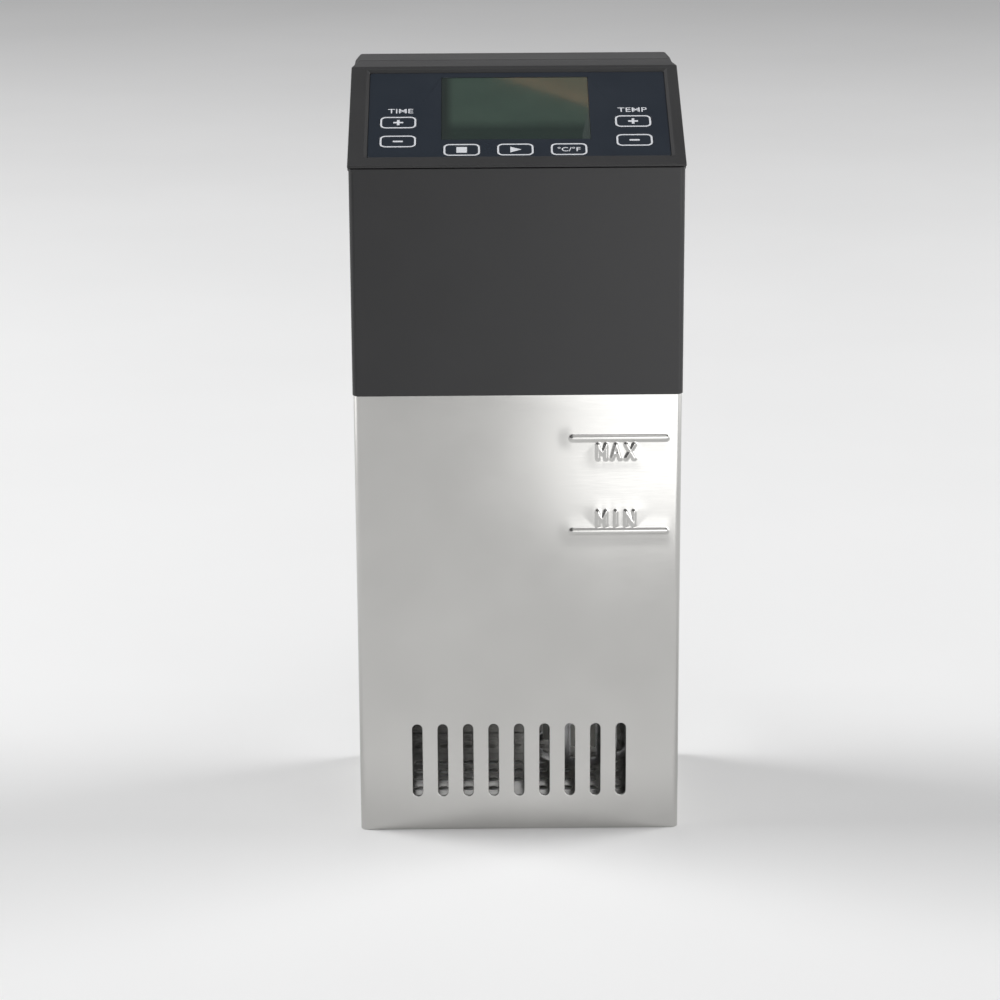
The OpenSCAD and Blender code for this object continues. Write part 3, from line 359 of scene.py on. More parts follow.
def mesh_of(name, bm):
    """The finished mesh of a bmesh, its faces all turned outwards."""
    bmesh.ops.recalc_face_normals(bm, faces=bm.faces)
    mesh = bpy.data.meshes.new(name)
    bm.to_mesh(mesh)
    bm.free()
    return mesh


SHARPEST_LEFT = math.radians(30)
SAME_PLACE = 0.002  # millimetres within which two corners are one
SAME_PLANE = math.radians(0.5)


def rounded_edges(obj, width, segments=2):
    """Rounds every edge sharper than SHARPEST_LEFT, and keeps the flat faces looking flat."""
    bevel = obj.modifiers.new("rounding", "BEVEL")
    bevel.width = width * MM
    bevel.segments = segments
    bevel.limit_method = "ANGLE"
    bevel.angle_limit = SHARPEST_LEFT
    bevel.use_clamp_overlap = False
    bevel.loop_slide = False
    bevel.miter_outer = "MITER_ARC"
    flat = obj.modifiers.new("flat_faces", "WEIGHTED_NORMAL")
    flat.keep_sharp = True
    flat.weight = 100
    return obj


def refined(node, name, width, segments=2):
    """A CAD solid's shape in clean faces, with its edges rounded."""
    bm = bmesh.new()
    bm.from_mesh(frame["nodes"][node].data)
    bmesh.ops.remove_doubles(bm, verts=bm.verts, dist=SAME_PLACE * MM)
    bmesh.ops.dissolve_limit(bm, angle_limit=SAME_PLANE, verts=bm.verts, edges=bm.edges)
    # Many-sided faces with holes would be drawn across them once their edges are rounded
    bmesh.ops.triangulate(bm, faces=[face for face in bm.faces if len(face.verts) > 4])
    rounded_edges(piece(name, mesh_of(name, bm), node), width, segments)


def lathe(bm, profile, steps=64):
    """Turns a closed profile of (radius, height) in millimetres about Z."""
    rings = []
    for radius, height in profile:
        if radius < 1e-6:
            rings.append([bm.verts.new((0, 0, height * MM))] * steps)
        else:
            rings.append([bm.verts.new((radius * MM * math.cos(2 * math.pi * i / steps),
                                        radius * MM * math.sin(2 * math.pi * i / steps),
                                        height * MM)) for i in range(steps)])
    for low, high in zip(rings, rings[1:]):
        for i in range(steps):
            corners = [low[i], low[(i + 1) % steps], high[(i + 1) % steps], high[i]]
            corners = [v for k, v in enumerate(corners) if v not in corners[:k]]
            if len(corners) > 2:
                bm.faces.new(corners)


def arc(cx, cy, r, start, end, steps=6):
    """Points on an arc, angles in degrees."""
    return [(cx + r * math.cos(math.radians(start + (end - start) * i / steps)),
             cy + r * math.sin(math.radians(start + (end - start) * i / steps)))
            for i in range(steps + 1)]


def rounded_rectangle(x0, x1, y0, y1, r, steps=6):
    return (arc(x1 - r, y1 - r, r, 0, 90, steps) + arc(x0 + r, y1 - r, r, 90, 180, steps)
            + arc(x0 + r, y0 + r, r, 180, 270, steps) + arc(x1 - r, y0 + r, r, 270, 360, steps))


# ---- the sloped panel ----

PANEL_RISE = 28.0 * MM
RECESS = 1.0
INWARD = Vector(next(j for j in frame["joints"] if j["name"] == "key_stop_press")["axis"])
UP_SLOPE = Vector((0, -INWARD.z, INWARD.y))
head_low, head_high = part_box("head_cover")
LIP = Vector((0, head_low.y, head_high.z - PANEL_RISE))


def on_panel(u, v, n=0.0):
    """The place u across, v up the slope and n out of the panel, in millimetres."""
    return LIP + Vector((u * MM, 0, 0)) + UP_SLOPE * (v * MM) - INWARD * (n * MM)


def panel_centre(node):
    """A flat piece's middle, as (u, v) on the panel."""
    low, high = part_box(node)
    middle = (low + high) / 2 - LIP
    return middle.x / MM, middle.dot(UP_SLOPE) / MM


def slab(bm, outline, n0, n1, hole=None, centre=(0, 0)):
    """A flat plate on the panel from depth n0 to n1, with one hole of as many points."""
    def ring(points, n):
        return [bm.verts.new(on_panel(centre[0] + x, centre[1] + y, n)) for x, y in points]

    low, high = ring(outline, n0), ring(outline, n1)
    count = len(outline)
    walls = [(low, high)]
    if hole is None:
        bm.faces.new(low)
        bm.faces.new(high)
    else:
        hole_low, hole_high = ring(hole, n0), ring(hole, n1)
        walls.append((hole_low, hole_high))
        for outer, inner in ((low, hole_low), (high, hole_high)):
            for i in range(count):
                k = (i + 1) % count
                bm.faces.new((outer[i], outer[k], inner[k], inner[i]))
    for first, second in walls:
        for i in range(count):
            k = (i + 1) % count
            bm.faces.new((first[i], first[k], second[k], second[i]))


INK_T = 0.03
KEY_W = 14.0
KEY_L = 8.2
KEY_R = 2.4
RING_OUT = 0.15  # the printed ring's edges, in from the edge of the key
RING_IN = 0.85


def key_shape(inset):
    r = max(KEY_R - inset, 0.3)
    return rounded_rectangle(-KEY_W / 2 + inset, KEY_W / 2 - inset,
                             -KEY_L / 2 + inset, KEY_L / 2 - inset, r)


def symbol_shapes(symbol):
    """Outlines of the symbol on a key, in millimetres about the key's middle."""
    bar, tall, thick = 1.9, 1.8, 0.5
    if symbol == "plus":
        return [[(-bar, -thick), (-thick, -thick), (-thick, -tall), (thick, -tall),
                 (thick, -thick), (bar, -thick), (bar, thick), (thick, thick), (thick, tall),
                 (-thick, tall), (-thick, thick), (-bar, thick)]]
    if symbol == "minus":
        return [[(-bar, -thick), (bar, -thick), (bar, thick), (-bar, thick)]]
    if symbol == "square":
        return [[(-2.0, -1.9), (2.0, -1.9), (2.0, 1.9), (-2.0, 1.9)]]
    if symbol == "triangle":
        return [[(-1.9, -1.9), (2.3, 0), (-1.9, 1.9)]]
    return []


def add_print(name, bm, node):
    """Ink that rides with a node's body, on top of the piece that stands for the node."""
    piece(name, mesh_of(name, bm), node, material=INK, smooth=False, stands_for=False)


def ink_text(name, words, size, width, centre, node, bold):
    """Printed letters on the panel, size high and width wide, in millimetres."""
    curve = bpy.data.curves.new(name, "FONT")
    curve.body = words
    curve.size = 1.0
    curve.offset = bold
    curve.resolution_u = 4
    curve.align_x = "LEFT"
    letters = bpy.data.objects.new(name + "_letters", curve)
    bpy.context.scene.collection.objects.link(letters)
    bpy.context.view_layer.update()
    flat = bpy.data.meshes.new_from_object(letters)
    bpy.data.objects.remove(letters)
    xs = [v.co.x for v in flat.vertices]
    ys = [v.co.y for v in flat.vertices]
    bm = bmesh.new()
    bm.from_mesh(flat)
    bpy.data.meshes.remove(flat)
    bmesh.ops.remove_doubles(bm, verts=bm.verts, dist=1e-5)
    for v in bm.verts:
        u = (v.co.x - (min(xs) + max(xs)) / 2) * width / (max(xs) - min(xs))
        t = (v.co.y - (min(ys) + max(ys)) / 2) * size / (max(ys) - min(ys))
        v.co = on_panel(centre[0] + u, centre[1] + t, -RECESS)
    grown = bmesh.ops.extrude_face_region(bm, geom=list(bm.faces))
    for v in grown["geom"]:
        if isinstance(v, bmesh.types.BMVert):
            v.co -= INWARD * (INK_T * MM)
    add_print(name, bm, node)


KEY_SYMBOLS = {"key_time_plus": "plus", "key_time_minus": "minus", "key_stop": "square",
               "key_start": "triangle", "key_unit": "", "key_temp_plus": "plus",
               "key_temp_minus": "minus"}


def add_key(node, symbol):
    """One key: a soft-edged pad on its stem, with a printed ring and symbol."""
    refined(node, node + "_pad", 0.12)
    centre = key_centres[node]
    bm = bmesh.new()
    slab(bm, key_shape(RING_OUT), -RECESS, -RECESS + INK_T, key_shape(RING_IN), centre)
    for shape in symbol_shapes(symbol):
        slab(bm, shape, -RECESS, -RECESS + INK_T, centre=centre)
    add_print(node + "_legend", bm, node)


def key_centre(node):
    """Where a key's pad sits: its stem runs inwards from the pad's middle."""
    low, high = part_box(node)
    highest = max((v.co for v in frame["nodes"][node].data.vertices),
                  key=lambda p: p.dot(-INWARD) + 1e-3 * p.dot(UP_SLOPE))
    return (low.x + high.x) / 2 / MM, (highest - LIP).dot(UP_SLOPE) / MM - KEY_L / 2


key_centres = {node: key_centre(node) for node in KEY_SYMBOLS}
LABEL_ABOVE = 7.95  # from the upper key's middle to its label's


def add_panel():
    refined("head_cover", "head_shell", 0.3, segments=3)
    refined("panel_film", "panel_overlay", 0.1)
    for node, symbol in KEY_SYMBOLS.items():
        add_key(node, symbol)
    ink_text("unit_legend", "°C/°F", 2.9, 8.6, key_centres["key_unit"], "key_unit",
             bold=0.01)
    for name, words, node, width, shift in (("time_label", "TIME", "key_time_plus", 9.6, 0.8),
                                            ("temp_label", "TEMP", "key_temp_plus", 11.2, 0)):
        u, v = key_centres[node]
        ink_text(name, words, 3.0, width, (u + shift, v + LABEL_ABOVE), "panel_film", bold=0.005)


add_panel()


# ---- display ----

WINDOW_W = 56.6
WINDOW_L = 43.6
PANE_T = 0.2
DISPLAY_DEPTH = 1.3
FACE_EDGE = 0.12
FOOT_SHADE_BAND = (0.10, 0.25)  # heights between which the bottom band of painted shade fades out
SIDE_SHADE_BAND = (1.6, 4.6)  # millimetres in from the left edge, over which the painted shade at the left fades out
GLINT = 3.0  # widest part of the painted reflection, a pale wedge at the lower right, in millimetres


def display_material(centre):
    """Grey-green unlit display, with painted shade as a dark band at the foot and the left, and a
    painted reflection as a pale wedge at the lower right.
    """
    n = Nodes("display_face")
    across = n.add("ShaderNodeSeparateXYZ")
    n.link(n.place, across.inputs["Vector"])
    half = (WINDOW_W / 2 - FACE_EDGE) * MM
    low = on_panel(0, centre[1] - WINDOW_L / 2 + FACE_EDGE).z
    high = on_panel(0, centre[1] + WINDOW_L / 2 - FACE_EDGE).z
    height = n.spread(across.outputs["Z"], 0, 1, low, high)
    left = n.math("ADD", across.outputs["X"], half)
    right = n.math("SUBTRACT", half, across.outputs["X"])
    # Painted shade: the foot and the left edge are darkened where the frame would shadow the sunken
    # face
    foot = n.spread(height, 1, 0, *FOOT_SHADE_BAND)
    side_shade = n.spread(left, 1, 0, SIDE_SHADE_BAND[0] * MM, SIDE_SHADE_BAND[1] * MM)
    # Painted reflection: a pale wedge along the right edge, widest at the bottom
    glint_width = n.spread(height, GLINT * MM, 0, 0.0, 0.45)
    inside = n.spread(n.math("SUBTRACT", glint_width, right), 0, 1, -0.2 * MM, 0.2 * MM)
    cloud = n.noise(70, detail=3)
    face = n.blend(n.spread(cloud, 0, 1), (0.044, 0.077, 0.059), (0.054, 0.090, 0.069))
    # The painted shade at the foot and the left, then the painted reflection at the right, laid
    # over the face's own tone
    face = n.blend(foot, face, (0.0095, 0.024, 0.0195))
    face = n.blend(side_shade, face, (0.008, 0.015, 0.0135))
    face = n.blend(n.math("MULTIPLY", inside, 0.8), face, (0.062, 0.080, 0.076))
    n.set(Base_Color=face, Roughness=0.35, Coat_Weight=1.0, Coat_Roughness=0.03,
          Coat_IOR=1.5, Specular_IOR_Level=0.2)
    n.bump([(n.noise(300, detail=1), 0.000003)], 0.3)
    return n.material


def add_display():
    """The window pane, the display's dark frame, and its face just under the pane."""
    refined("lcd_module", "display_frame", 0.1)
    centre = panel_centre("lcd_window")
    bm = bmesh.new()
    slab(bm, rounded_rectangle(-WINDOW_W / 2, WINDOW_W / 2, -WINDOW_L / 2, WINDOW_L / 2, 0.2),
         -RECESS - PANE_T, -RECESS, centre=centre)
    piece("display_window", mesh_of("display_window", bm), "lcd_window", smooth=False)
    w = WINDOW_W / 2 - FACE_EDGE
    h = WINDOW_L / 2 - FACE_EDGE
    bm = bmesh.new()
    slab(bm, rounded_rectangle(-w, w, -h, h, 0.6), -DISPLAY_DEPTH, -DISPLAY_DEPTH + 0.08,
         centre=centre)
    piece("display_face", mesh_of("display_face", bm), "lcd_module",
          material=display_material(centre), smooth=False, stands_for=False)


add_display()


# ---- body ----

refined("front_housing", "body_shell", 0.3, segments=3)
refined("rear_cover", "back_shell", 0.4, segments=3)
refined("housing_floor", "body_floor", 0.3)
refined("housing_screws", "back_screws", 0.18)


# ---- steel skirt ----

skirt_low, skirt_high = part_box("steel_skirt")
SKIRT_H = skirt_high.z / MM
SKIRT_HALF_W = skirt_high.x / MM
SKIRT_HALF_D = skirt_high.y / MM
SKIRT_R = 2.5
SHEET = 1.0
SLOT_PITCH = 10.0
SLOT_HALF = 2.0
SLOT_LOW = 14.0
SLOT_HIGH = 44.0
BAND_LOW = 9.0
BAND_HIGH = 49.0

# Pressed level marks, as on the CAD part
EMBOSS = 0.7
MARK_X = (20.0, 57.6)
MAX_Z = SKIRT_H - 17.2
MIN_Z = SKIRT_H - 54.4
LETTER_H = 6.6
LETTER_W = 4.1
LETTER_T = 1.0
LETTER_PITCH = 5.4
LETTERS_X = 30.2
MAX_TEXT_Z = SKIRT_H - 25.8
MIN_TEXT_Z = SKIRT_H - 52.5
STROKES = {
    "M": (((0, 0), (0, 1)), ((0, 1), (0.5, 0.35)), ((0.5, 0.35), (1, 1)), ((1, 1), (1, 0))),
    "A": (((0, 0), (0.5, 1)), ((0.5, 1), (1, 0)), ((0.2, 0.35), (0.8, 0.35))),
    "X": (((0, 0), (1, 1)), ((0, 1), (1, 0))),
    "I": (((0.5, 0), (0.5, 1)),),
    "N": (((0, 0), (0, 1)), ((0, 1), (1, 0)), ((1, 0), (1, 1))),
}
SCREW_X = (26.0, 50.0)
SCREW_Z = SKIRT_H - 7.0
SCREW_HOLE_R = 2.7
SCREW_CELL = 4.0
PATCH = (13.0, 60.0, SKIRT_H - 63.0, SKIRT_H - 9.0)
PATCH_STEP = 0.36
RIB_FLANK = 0.9  # width over which a rib rises
SWELL = 0.10  # height of the shallow swell around the ribs
SWELL_REACH = 3.2
PATCH_FADE = 4.0  # width over which the swell dies out at the patch's edge
UPRIGHT_ANGLE = math.radians(60)


def mark_strokes():
    """The middle lines of every pressed mark: ((x0, z0), (x1, z1), half thickness)."""
    lines = [((MARK_X[0] + 1, z), (MARK_X[1] - 1, z), 1.0) for z in (MAX_Z, MIN_Z)]
    for word, foot in (("MAX", MAX_TEXT_Z), ("MIN", MIN_TEXT_Z)):
        for place, letter in enumerate(word):
            left = LETTERS_X + place * LETTER_PITCH + LETTER_T / 2
            low = foot + LETTER_T / 2
            for (ax, az), (bx, bz) in STROKES[letter]:
                lines.append(((left + ax * (LETTER_W - LETTER_T), low + az * (LETTER_H - LETTER_T)),
                              (left + bx * (LETTER_W - LETTER_T), low + bz * (LETTER_H - LETTER_T)),
                              LETTER_T / 2))
    return lines


def distance(x, z, line):
    (ax, az), (bx, bz), half = line
    along = ((x - ax) * (bx - ax) + (z - az) * (bz - az)) / ((bx - ax) ** 2 + (bz - az) ** 2)
    along = min(1.0, max(0.0, along))
    return math.hypot(x - ax - along * (bx - ax), z - az - along * (bz - az)) - half


def pressed_height(x, z, lines):
    """How far the sheet stands out at a place: a round rib, in a shallow swell around it."""
    d = min(distance(x, z, line) for line in lines)
    rise = min(1.0, max(0.0, 0.5 - d / RIB_FLANK))
    rib = rise * rise * (3 - 2 * rise)
    edge = min(x - PATCH[0], PATCH[1] - x, z - PATCH[2], PATCH[3] - z)
    fade = min(1.0, edge / PATCH_FADE)
    swell = SWELL * math.exp(-(max(d, 0) / SWELL_REACH) ** 2) * fade * fade * (3 - 2 * fade)
    return (EMBOSS - SWELL) * rib + swell


class Sheet:
    """Joins flat faces that share corners into one surface."""

    def __init__(self):
        self.bm = bmesh.new()
        self.corners = {}

    def corner(self, point):
        key = tuple(round(c, 5) for c in point)
        if key not in self.corners:
            self.corners[key] = self.bm.verts.new(Vector(point) * MM)
        return self.corners[key]

    def face(self, points):
        corners = []
        for p in points:
            vert = self.corner(p)
            if vert not in corners:
                corners.append(vert)
        if len(corners) > 2:
            self.bm.faces.new(corners)


def slotted_wall(sheet, place, half, count):
    """One flat wall: plain strips, a row of count round-ended slots, and an open upper part.

    place(s, z) gives the point at s along the wall. Returns the points along the slots' top.
    """
    edges = [(i - count / 2) * SLOT_PITCH for i in range(count + 1)]
    sheet.face([place(-half, 0), *[place(s, 0) for s in (edges[0], edges[-1])], place(half, 0),
                place(half, BAND_LOW), *[place(s, BAND_LOW) for s in reversed(edges)],
                place(-half, BAND_LOW)])
    for a, b in ((-half, edges[0]), (edges[-1], half)):
        sheet.face([place(a, BAND_LOW), place(b, BAND_LOW), place(b, BAND_HIGH),
                    place(a, BAND_HIGH)])
    for left, right in zip(edges, edges[1:]):
        middle = (left + right) / 2
        top = [place(middle + x, SLOT_HIGH - SLOT_HALF + y)
               for x, y in arc(0, 0, SLOT_HALF, 0, 180, 10)]
        foot = [place(middle + x, SLOT_LOW + SLOT_HALF + y)
                for x, y in arc(0, 0, SLOT_HALF, 180, 360, 10)]
        sheet.face([place(left, BAND_HIGH), place(right, BAND_HIGH), *top])
        sheet.face([place(right, BAND_LOW), place(left, BAND_LOW), *foot])
        sheet.face([place(left, BAND_LOW), place(left, BAND_HIGH), top[-1], foot[0]])
        sheet.face([place(right, BAND_HIGH), place(right, BAND_LOW), foot[-1], top[0]])
    return [place(s, BAND_HIGH) for s in (-half, *edges, half)]


def plain_upper(sheet, place, half, foot):
    sheet.face([*foot, place(half, SKIRT_H), place(-half, SKIRT_H)])


def framed(sheet, place, half, foot, low_edge, right_edge, high_edge, left_edge):
    """Four plain faces from a patch out to the edges of the wall's upper part."""
    left_top, right_top = place(-half, SKIRT_H), place(half, SKIRT_H)
    sheet.face([*foot, *reversed(low_edge)])
    sheet.face([foot[-1], right_top, *reversed(right_edge)])
    sheet.face([right_top, left_top, *high_edge])
    sheet.face([left_top, foot[0], *left_edge])


def marked_upper(sheet, place, half, foot):
    """The front wall's upper part, with the pressed marks in a fine patch."""
    x0, x1, z0, z1 = PATCH
    columns = round((x1 - x0) / PATCH_STEP)
    rows = round((z1 - z0) / PATCH_STEP)
    xs = [x0 + (x1 - x0) * i / columns for i in range(columns + 1)]
    zs = [z0 + (z1 - z0) * i / rows for i in range(rows + 1)]
    lines = mark_strokes()
    grid = []
    for z in zs:
        grid.append([])
        for x in xs:
            point = Vector(place(x, z))
            point.y -= pressed_height(x, z, lines)
            grid[-1].append(tuple(point))
    for low, high in zip(grid, grid[1:]):
        for i in range(columns):
            sheet.face([low[i], low[i + 1], high[i + 1], high[i]])
    framed(sheet, place, half, foot, grid[0], [row[-1] for row in grid], grid[-1],
           [row[0] for row in grid])


def screwed_upper(sheet, place, half, foot):
    """The back wall's upper part, with a row of round screw holes."""
    z0, z1 = SCREW_Z - SCREW_CELL, SCREW_Z + SCREW_CELL
    edges = [-SCREW_X[-1] - SCREW_CELL]
    for x in (-SCREW_X[1], -SCREW_X[0], SCREW_X[0], SCREW_X[1]):
        left, right = x - SCREW_CELL, x + SCREW_CELL
        if left > edges[-1]:
            sheet.face([place(edges[-1], z0), place(left, z0), place(left, z1),
                        place(edges[-1], z1)])
            edges.append(left)
        edges.append(right)
        ring = [place(x + cx, SCREW_Z + cz) for cx, cz in arc(0, 0, SCREW_HOLE_R, 0, 360, 24)]
        corners = [place(right, z1), place(left, z1), place(left, z0), place(right, z0)]
        for quarter, corner in enumerate(corners):
            part = ring[quarter * 6:quarter * 6 + 7]
            sheet.face([corner, *reversed(part)])
            sheet.face([corner, part[-1], corners[(quarter + 1) % 4]])
    framed(sheet, place, half, foot, [place(x, z0) for x in edges],
           [place(edges[-1], z0), place(edges[-1], z1)], [place(x, z1) for x in edges],
           [place(edges[0], z0), place(edges[0], z1)])


def add_skirt():
    """The folded sheet: four walls with water slots, round upright edges, pressed marks.

    Its cut edges are rounded by weight, so that the marks' fine mesh is left alone.
    """
    flat_x = SKIRT_HALF_W - SKIRT_R
    flat_y = SKIRT_HALF_D - SKIRT_R
    sheet = Sheet()
    walls = (
        (lambda s, z: (s, -SKIRT_HALF_D, z), flat_x, 9, marked_upper),
        (lambda s, z: (SKIRT_HALF_W, s, z), flat_y, 5, plain_upper),
        (lambda s, z: (-s, SKIRT_HALF_D, z), flat_x, 9, screwed_upper),
        (lambda s, z: (-SKIRT_HALF_W, -s, z), flat_y, 5, plain_upper),
    )
    for place, half, count, add_upper in walls:
        add_upper(sheet, place, half, slotted_wall(sheet, place, half, count))
    levels = (0, BAND_LOW, BAND_HIGH, SKIRT_H)
    for cx, cy, start in ((flat_x, -flat_y, 270), (flat_x, flat_y, 0), (-flat_x, flat_y, 90),
                          (-flat_x, -flat_y, 180)):
        bend = arc(cx, cy, SKIRT_R, start, start + 90, 6)
        for (ax, ay), (bx, by) in zip(bend, bend[1:]):
            for low, high in zip(levels, levels[1:]):
                sheet.face([(ax, ay, low), (bx, by, low), (bx, by, high), (ax, ay, high)])
    bm = sheet.bm
    bmesh.ops.recalc_face_normals(bm, faces=bm.faces)
    bmesh.ops.solidify(bm, geom=bm.faces[:], thickness=SHEET * MM)
    weight = bm.edges.layers.float.new("bevel_weight_edge")
    for edge in bm.edges:
        marked = any(v.co.y < -(SKIRT_HALF_D - 2 * SHEET) * MM and PATCH[0] * MM <= v.co.x
                     and PATCH[2] * MM <= v.co.z <= PATCH[3] * MM for v in edge.verts)
        edge[weight] = float(not marked and edge.calc_face_angle() > UPRIGHT_ANGLE)
    obj = rounded_edges(piece("skirt_sheet", mesh_of("skirt_sheet", bm), "steel_skirt"), 0.25, 3)
    obj.modifiers["rounding"].limit_method = "WEIGHT"


add_skirt()
refined("skirt_base", "skirt_floor", 0.15)
refined("skirt_screws", "skirt_fixings", 0.18)


# ---- rim clamp ----

clamp_low, clamp_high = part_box("clamp_screw")
CLAMP_Z = (clamp_low.z + clamp_high.z) / 2
THREAD_PITCH = 2.5
THREAD_R = 4.0
THREAD_DEPTH = 0.55
TIP_R = 3.0


def along_y(bm, y):
    """Turns a shape made about Z to lie along Y, starting at y, at the clamp screw's height."""
    bm.transform(Matrix.Translation((0, y, CLAMP_Z)) @ Matrix.Rotation(-math.pi / 2, 4, "X"))


def add_clamp_screw():
    """Plain tip, then a right-handed rolled thread."""
    length = (clamp_high.y - clamp_low.y) / MM
    tip_end = (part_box("pressure_pad")[1].y - clamp_low.y) / MM + 2
    steps, per_turn = 40, 10
    bm = bmesh.new()
    rings = [[bm.verts.new((TIP_R * MM * math.cos(a), TIP_R * MM * math.sin(a), y * MM))
              for a in (2 * math.pi * i / steps for i in range(steps))] for y in (0, tip_end)]
    turns = (length - tip_end) / THREAD_PITCH
    count = round(turns * per_turn)
    for k in range(count + 1):
        y = tip_end + (length - tip_end) * k / count
        runout = min(1.0, k / per_turn, (count - k) / per_turn)
        ring = []
        for i in range(steps):
            phase = (y / THREAD_PITCH - i / steps) % 1.0
            crest = min(1.0, max(0.0, 1.6 - abs(phase - 0.5) * 4.4))
            r = THREAD_R - THREAD_DEPTH * (1 - crest) * runout
            a = 2 * math.pi * i / steps
            ring.append(bm.verts.new((r * MM * math.cos(a), r * MM * math.sin(a), y * MM)))
        rings.append(ring)
    for low, high in zip(rings, rings[1:]):
        for i in range(steps):
            k = (i + 1) % steps
            bm.faces.new((low[i], low[k], high[k], high[i]))
    bm.faces.new(rings[0])
    bm.faces.new(rings[-1])
    along_y(bm, clamp_low.y)
    obj = piece("threaded_spindle", mesh_of("threaded_spindle", bm), "clamp_screw")
    obj.data.set_sharp_from_angle(angle=math.radians(50))


KNOB_LOBES = 6
KNOB_SWING = 2.0  # half the lobes' height
COLLAR_R = 9.0
COLLAR = 3.4


def add_knob():
    """Six soft lobes on a round collar, with a dished end."""
    low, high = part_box("clamp_knob")
    depth = (high.y - low.y) / MM
    outer = (high.x - low.x) / 2 / MM
    steps = 120
    rim = outer - KNOB_SWING
    profile = [(0.0, 0.0, 0), (COLLAR_R - 0.6, 0.0, 0), (COLLAR_R, 0.6, 0), (COLLAR_R, COLLAR, 0)]
    profile += [(rim - 1.8 + x, COLLAR + 1.8 + y, 1) for x, y in arc(0, 0, 1.8, -90, 0)]
    profile += [(rim - 2.6 + x, depth - 2.6 + y, 1) for x, y in arc(0, 0, 2.6, 0, 90, 8)]
    profile += [(9.0, depth, 0), (8.2, depth - 0.5, 0), (5.0, depth - 1.1, 0),
                (0.0, depth - 1.3, 0)]
    bm = bmesh.new()
    rings = []
    for radius, y, lobed in profile:
        if radius == 0:
            rings.append([bm.verts.new((0, 0, y * MM))] * steps)
            continue
        ring = []
        for i in range(steps):
            a = 2 * math.pi * i / steps
            r = radius + lobed * KNOB_SWING * math.cos(KNOB_LOBES * a)
            ring.append(bm.verts.new((r * MM * math.cos(a), r * MM * math.sin(a), y * MM)))
        rings.append(ring)
    for first, second in zip(rings, rings[1:]):
        for i in range(steps):
            k = (i + 1) % steps
            corners = [first[i], first[k], second[k], second[i]]
            corners = [v for j, v in enumerate(corners) if v not in corners[:j]]
            bm.faces.new(corners)
    along_y(bm, low.y)
    obj = piece("knob", mesh_of("knob", bm), "clamp_knob")
    obj.data.set_sharp_from_angle(angle=math.radians(40))


def add_pad():
    """A turned pad with a socket for the screw's tip, and a grooved rubber face."""
    low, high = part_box("pressure_pad")
    face_low, face_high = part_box("pad_face")
    r = (high.x - low.x) / 2 / MM
    t = (high.y - low.y) / MM
    bm = bmesh.new()
    lathe(bm, [(0, 0), (r - 0.4, 0), (r, 0.4), (r, 1.6), (r - 1.2, 2.6), (9, 3.0), (7.6, 3.4),
               (7.0, 4.2), (7.0, t - 0.5), (6.5, t), (TIP_R + 0.5, t), (TIP_R + 0.1, t - 0.4),
               (TIP_R + 0.1, 1.6), (0, 1.6)])
    along_y(bm, low.y)
    obj = piece("pad_plate", mesh_of("pad_plate", bm), "pressure_pad")
    obj.data.set_sharp_from_angle(angle=math.radians(35))
    depth = (face_high.y - face_low.y) / MM
    profile = [(0, depth), (r - 0.3, depth), (r, depth - 0.3), (r, 0.5), (r - 0.5, 0)]
    for groove in (11.5, 9.0, 6.5, 4.0):
        profile += [(groove + 0.5, 0), (groove + 0.2, 0.6), (groove - 0.2, 0.6), (groove - 0.5, 0)]
    bm = bmesh.new()
    lathe(bm, profile + [(0, 0)])
    along_y(bm, face_low.y)
    obj = piece("pad_rubber", mesh_of("pad_rubber", bm), "pad_face")
    obj.data.set_sharp_from_angle(angle=math.radians(35))


add_clamp_screw()
add_knob()
add_pad()
refined("clamp_bracket", "bracket", 0.5, segments=3)
refined("clamp_bolts", "bracket_bolts", 0.3)
refined("clamp_nut", "spindle_nut", 0.5, segments=3)
refined("cord_gland", "cord_entry", 0.5, segments=3)


# ---- inside the skirt ----

for node, name, width in (("impeller", "impeller_wheel", 0.3), ("impeller_guard", "guard", 0.2),
                          ("heater_fittings", "heater_nuts", 0.3),
                          ("probe_fittings", "probe_nuts", 0.3)):
    refined(node, name, width)


# ---- studio ----

FLOOR_REACH = 9.0
GLARE = (0.0173, 0.0075, 0.2868)  # the place on the display that mirrors the warm lamps
GLARE_TURN = -16.6


def add_floor():
    """A large pale floor with a very slight unevenness."""
    n = Nodes("floor")
    cloud = n.noise(3, detail=4)
    n.set(Base_Color=n.blend(n.spread(cloud, 0, 1), (0.90, 0.90, 0.90), (0.93, 0.93, 0.93)),
          Roughness=0.75, Specular_IOR_Level=0.2)
    mesh = bpy.data.meshes.new("floor")
    mesh.from_pydata([(x * FLOOR_REACH, y * FLOOR_REACH, 0)
                      for x, y in ((-1, -1), (1, -1), (1, 1), (-1, 1))], [], [(0, 1, 2, 3)])
    mesh.materials.append(n.material)
    floor = bpy.data.objects.new("floor", mesh)
    bpy.context.scene.collection.objects.link(floor)


def object_only():
    """The collection of the object's own pieces, for lights that leave the floor alone."""
    pieces = bpy.data.collections.new("pieces")
    for obj in bpy.context.scene.objects:
        if obj.type == "MESH":
            pieces.objects.link(obj)
    return pieces


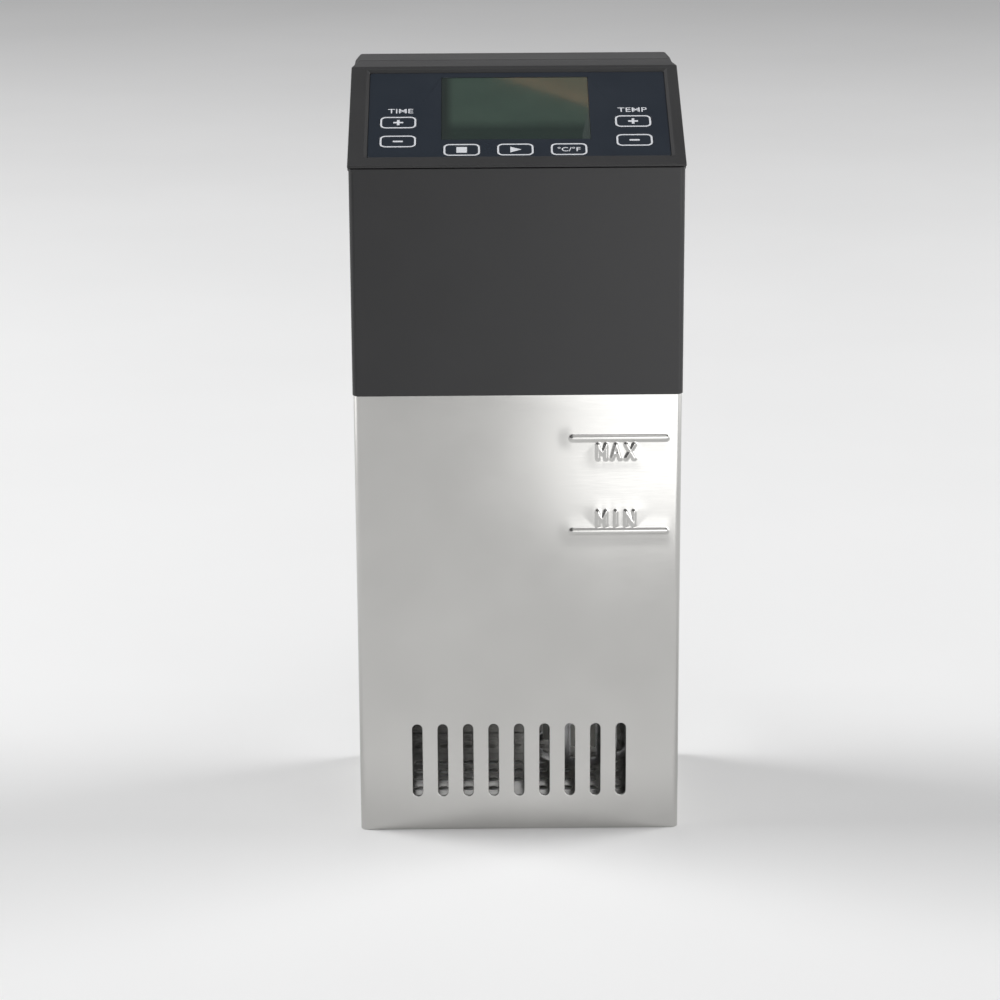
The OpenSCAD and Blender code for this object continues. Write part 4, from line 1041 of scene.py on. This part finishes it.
def add_light(name, place, target, size, power, colour=(1, 1, 1), turn=0, only=None):
    """A rectangular lamp, turned in its own plane. It lights everything if only is None."""
    data = bpy.data.lights.new(name, "AREA")
    data.shape = "RECTANGLE"
    data.size, data.size_y = size
    data.energy = power
    data.color = colour
    light = bpy.data.objects.new(name, data)
    light.visible_camera = False
    light.light_linking.receiver_collection = only
    aim = (Vector(target) - Vector(place)).to_track_quat("-Z", "Y")
    light.matrix_world = (Matrix.Translation(place) @ aim.to_matrix().to_4x4()
                          @ Matrix.Rotation(math.radians(turn), 4, "Z"))
    bpy.context.scene.collection.objects.link(light)


def add_world():
    """Dim, even light from all round."""
    world = bpy.data.worlds.new("studio")
    world.use_nodes = True
    background = next(n for n in world.node_tree.nodes if n.type == "BACKGROUND")
    background.inputs["Color"].default_value = (0.15, 0.15, 0.152, 1)
    bpy.context.scene.world = world


pieces = object_only()
add_floor()
add_world()
add_light("top", (0.2, -0.5, 2.1), (0, 0, 0), (1.6, 1.4), 8)
add_light("left", (-2.2, 0.5, 1.9), (-0.3, 0.5, 0), (1.2, 1.8), 56)
add_light("right", (2.2, 0.5, 1.9), (0.3, 0.5, 0), (1.2, 1.8), 40)
for name, place, target, size, power in (
        ("front", (0.55, -1.0, 0.22), (0.1, 0, 0.15), (1.0, 0.44), 1.95),
        ("low", (0.299, -0.47, 0.15), (0.299, 0, 0.15), (0.54, 0.30), 0.73),
        ("left_rim", (-0.55, -0.1, 0.2), (0, -0.1, 0.2), (0.4, 0.34), 0.35),
        ("right_rim", (0.6, -0.1, 0.2), (0, -0.1, 0.2), (1.0, 0.34), 0.7),
        ("fill", (0.15, -0.6, 0.62), (0.06, 0, 0.16), (0.40, 0.50), 0.28),
        ("back", (0.0, 3.2, 1.25), (0, 0.3, 0.2), (3.0, 0.8), 3.6)):
    add_light(name, place, target, size, power, only=pieces)
for name, place, size, power, colour in (
        ("warm", (0.0516, 0.849, 1.5281), (0.107, 0.0273), 0.0053, (1.0, 0.42, 0.16)),
        ("warm_edge", (0.0485, 0.8415, 1.5332), (0.107, 0.0082), 0.0011, (1.0, 0.50, 0.26))):
    add_light(name, place, GLARE, size, power, colour, GLARE_TURN, pieces)

bpy.context.scene.view_settings.view_transform = "Standard"
bpy.context.scene.view_settings.look = "None"
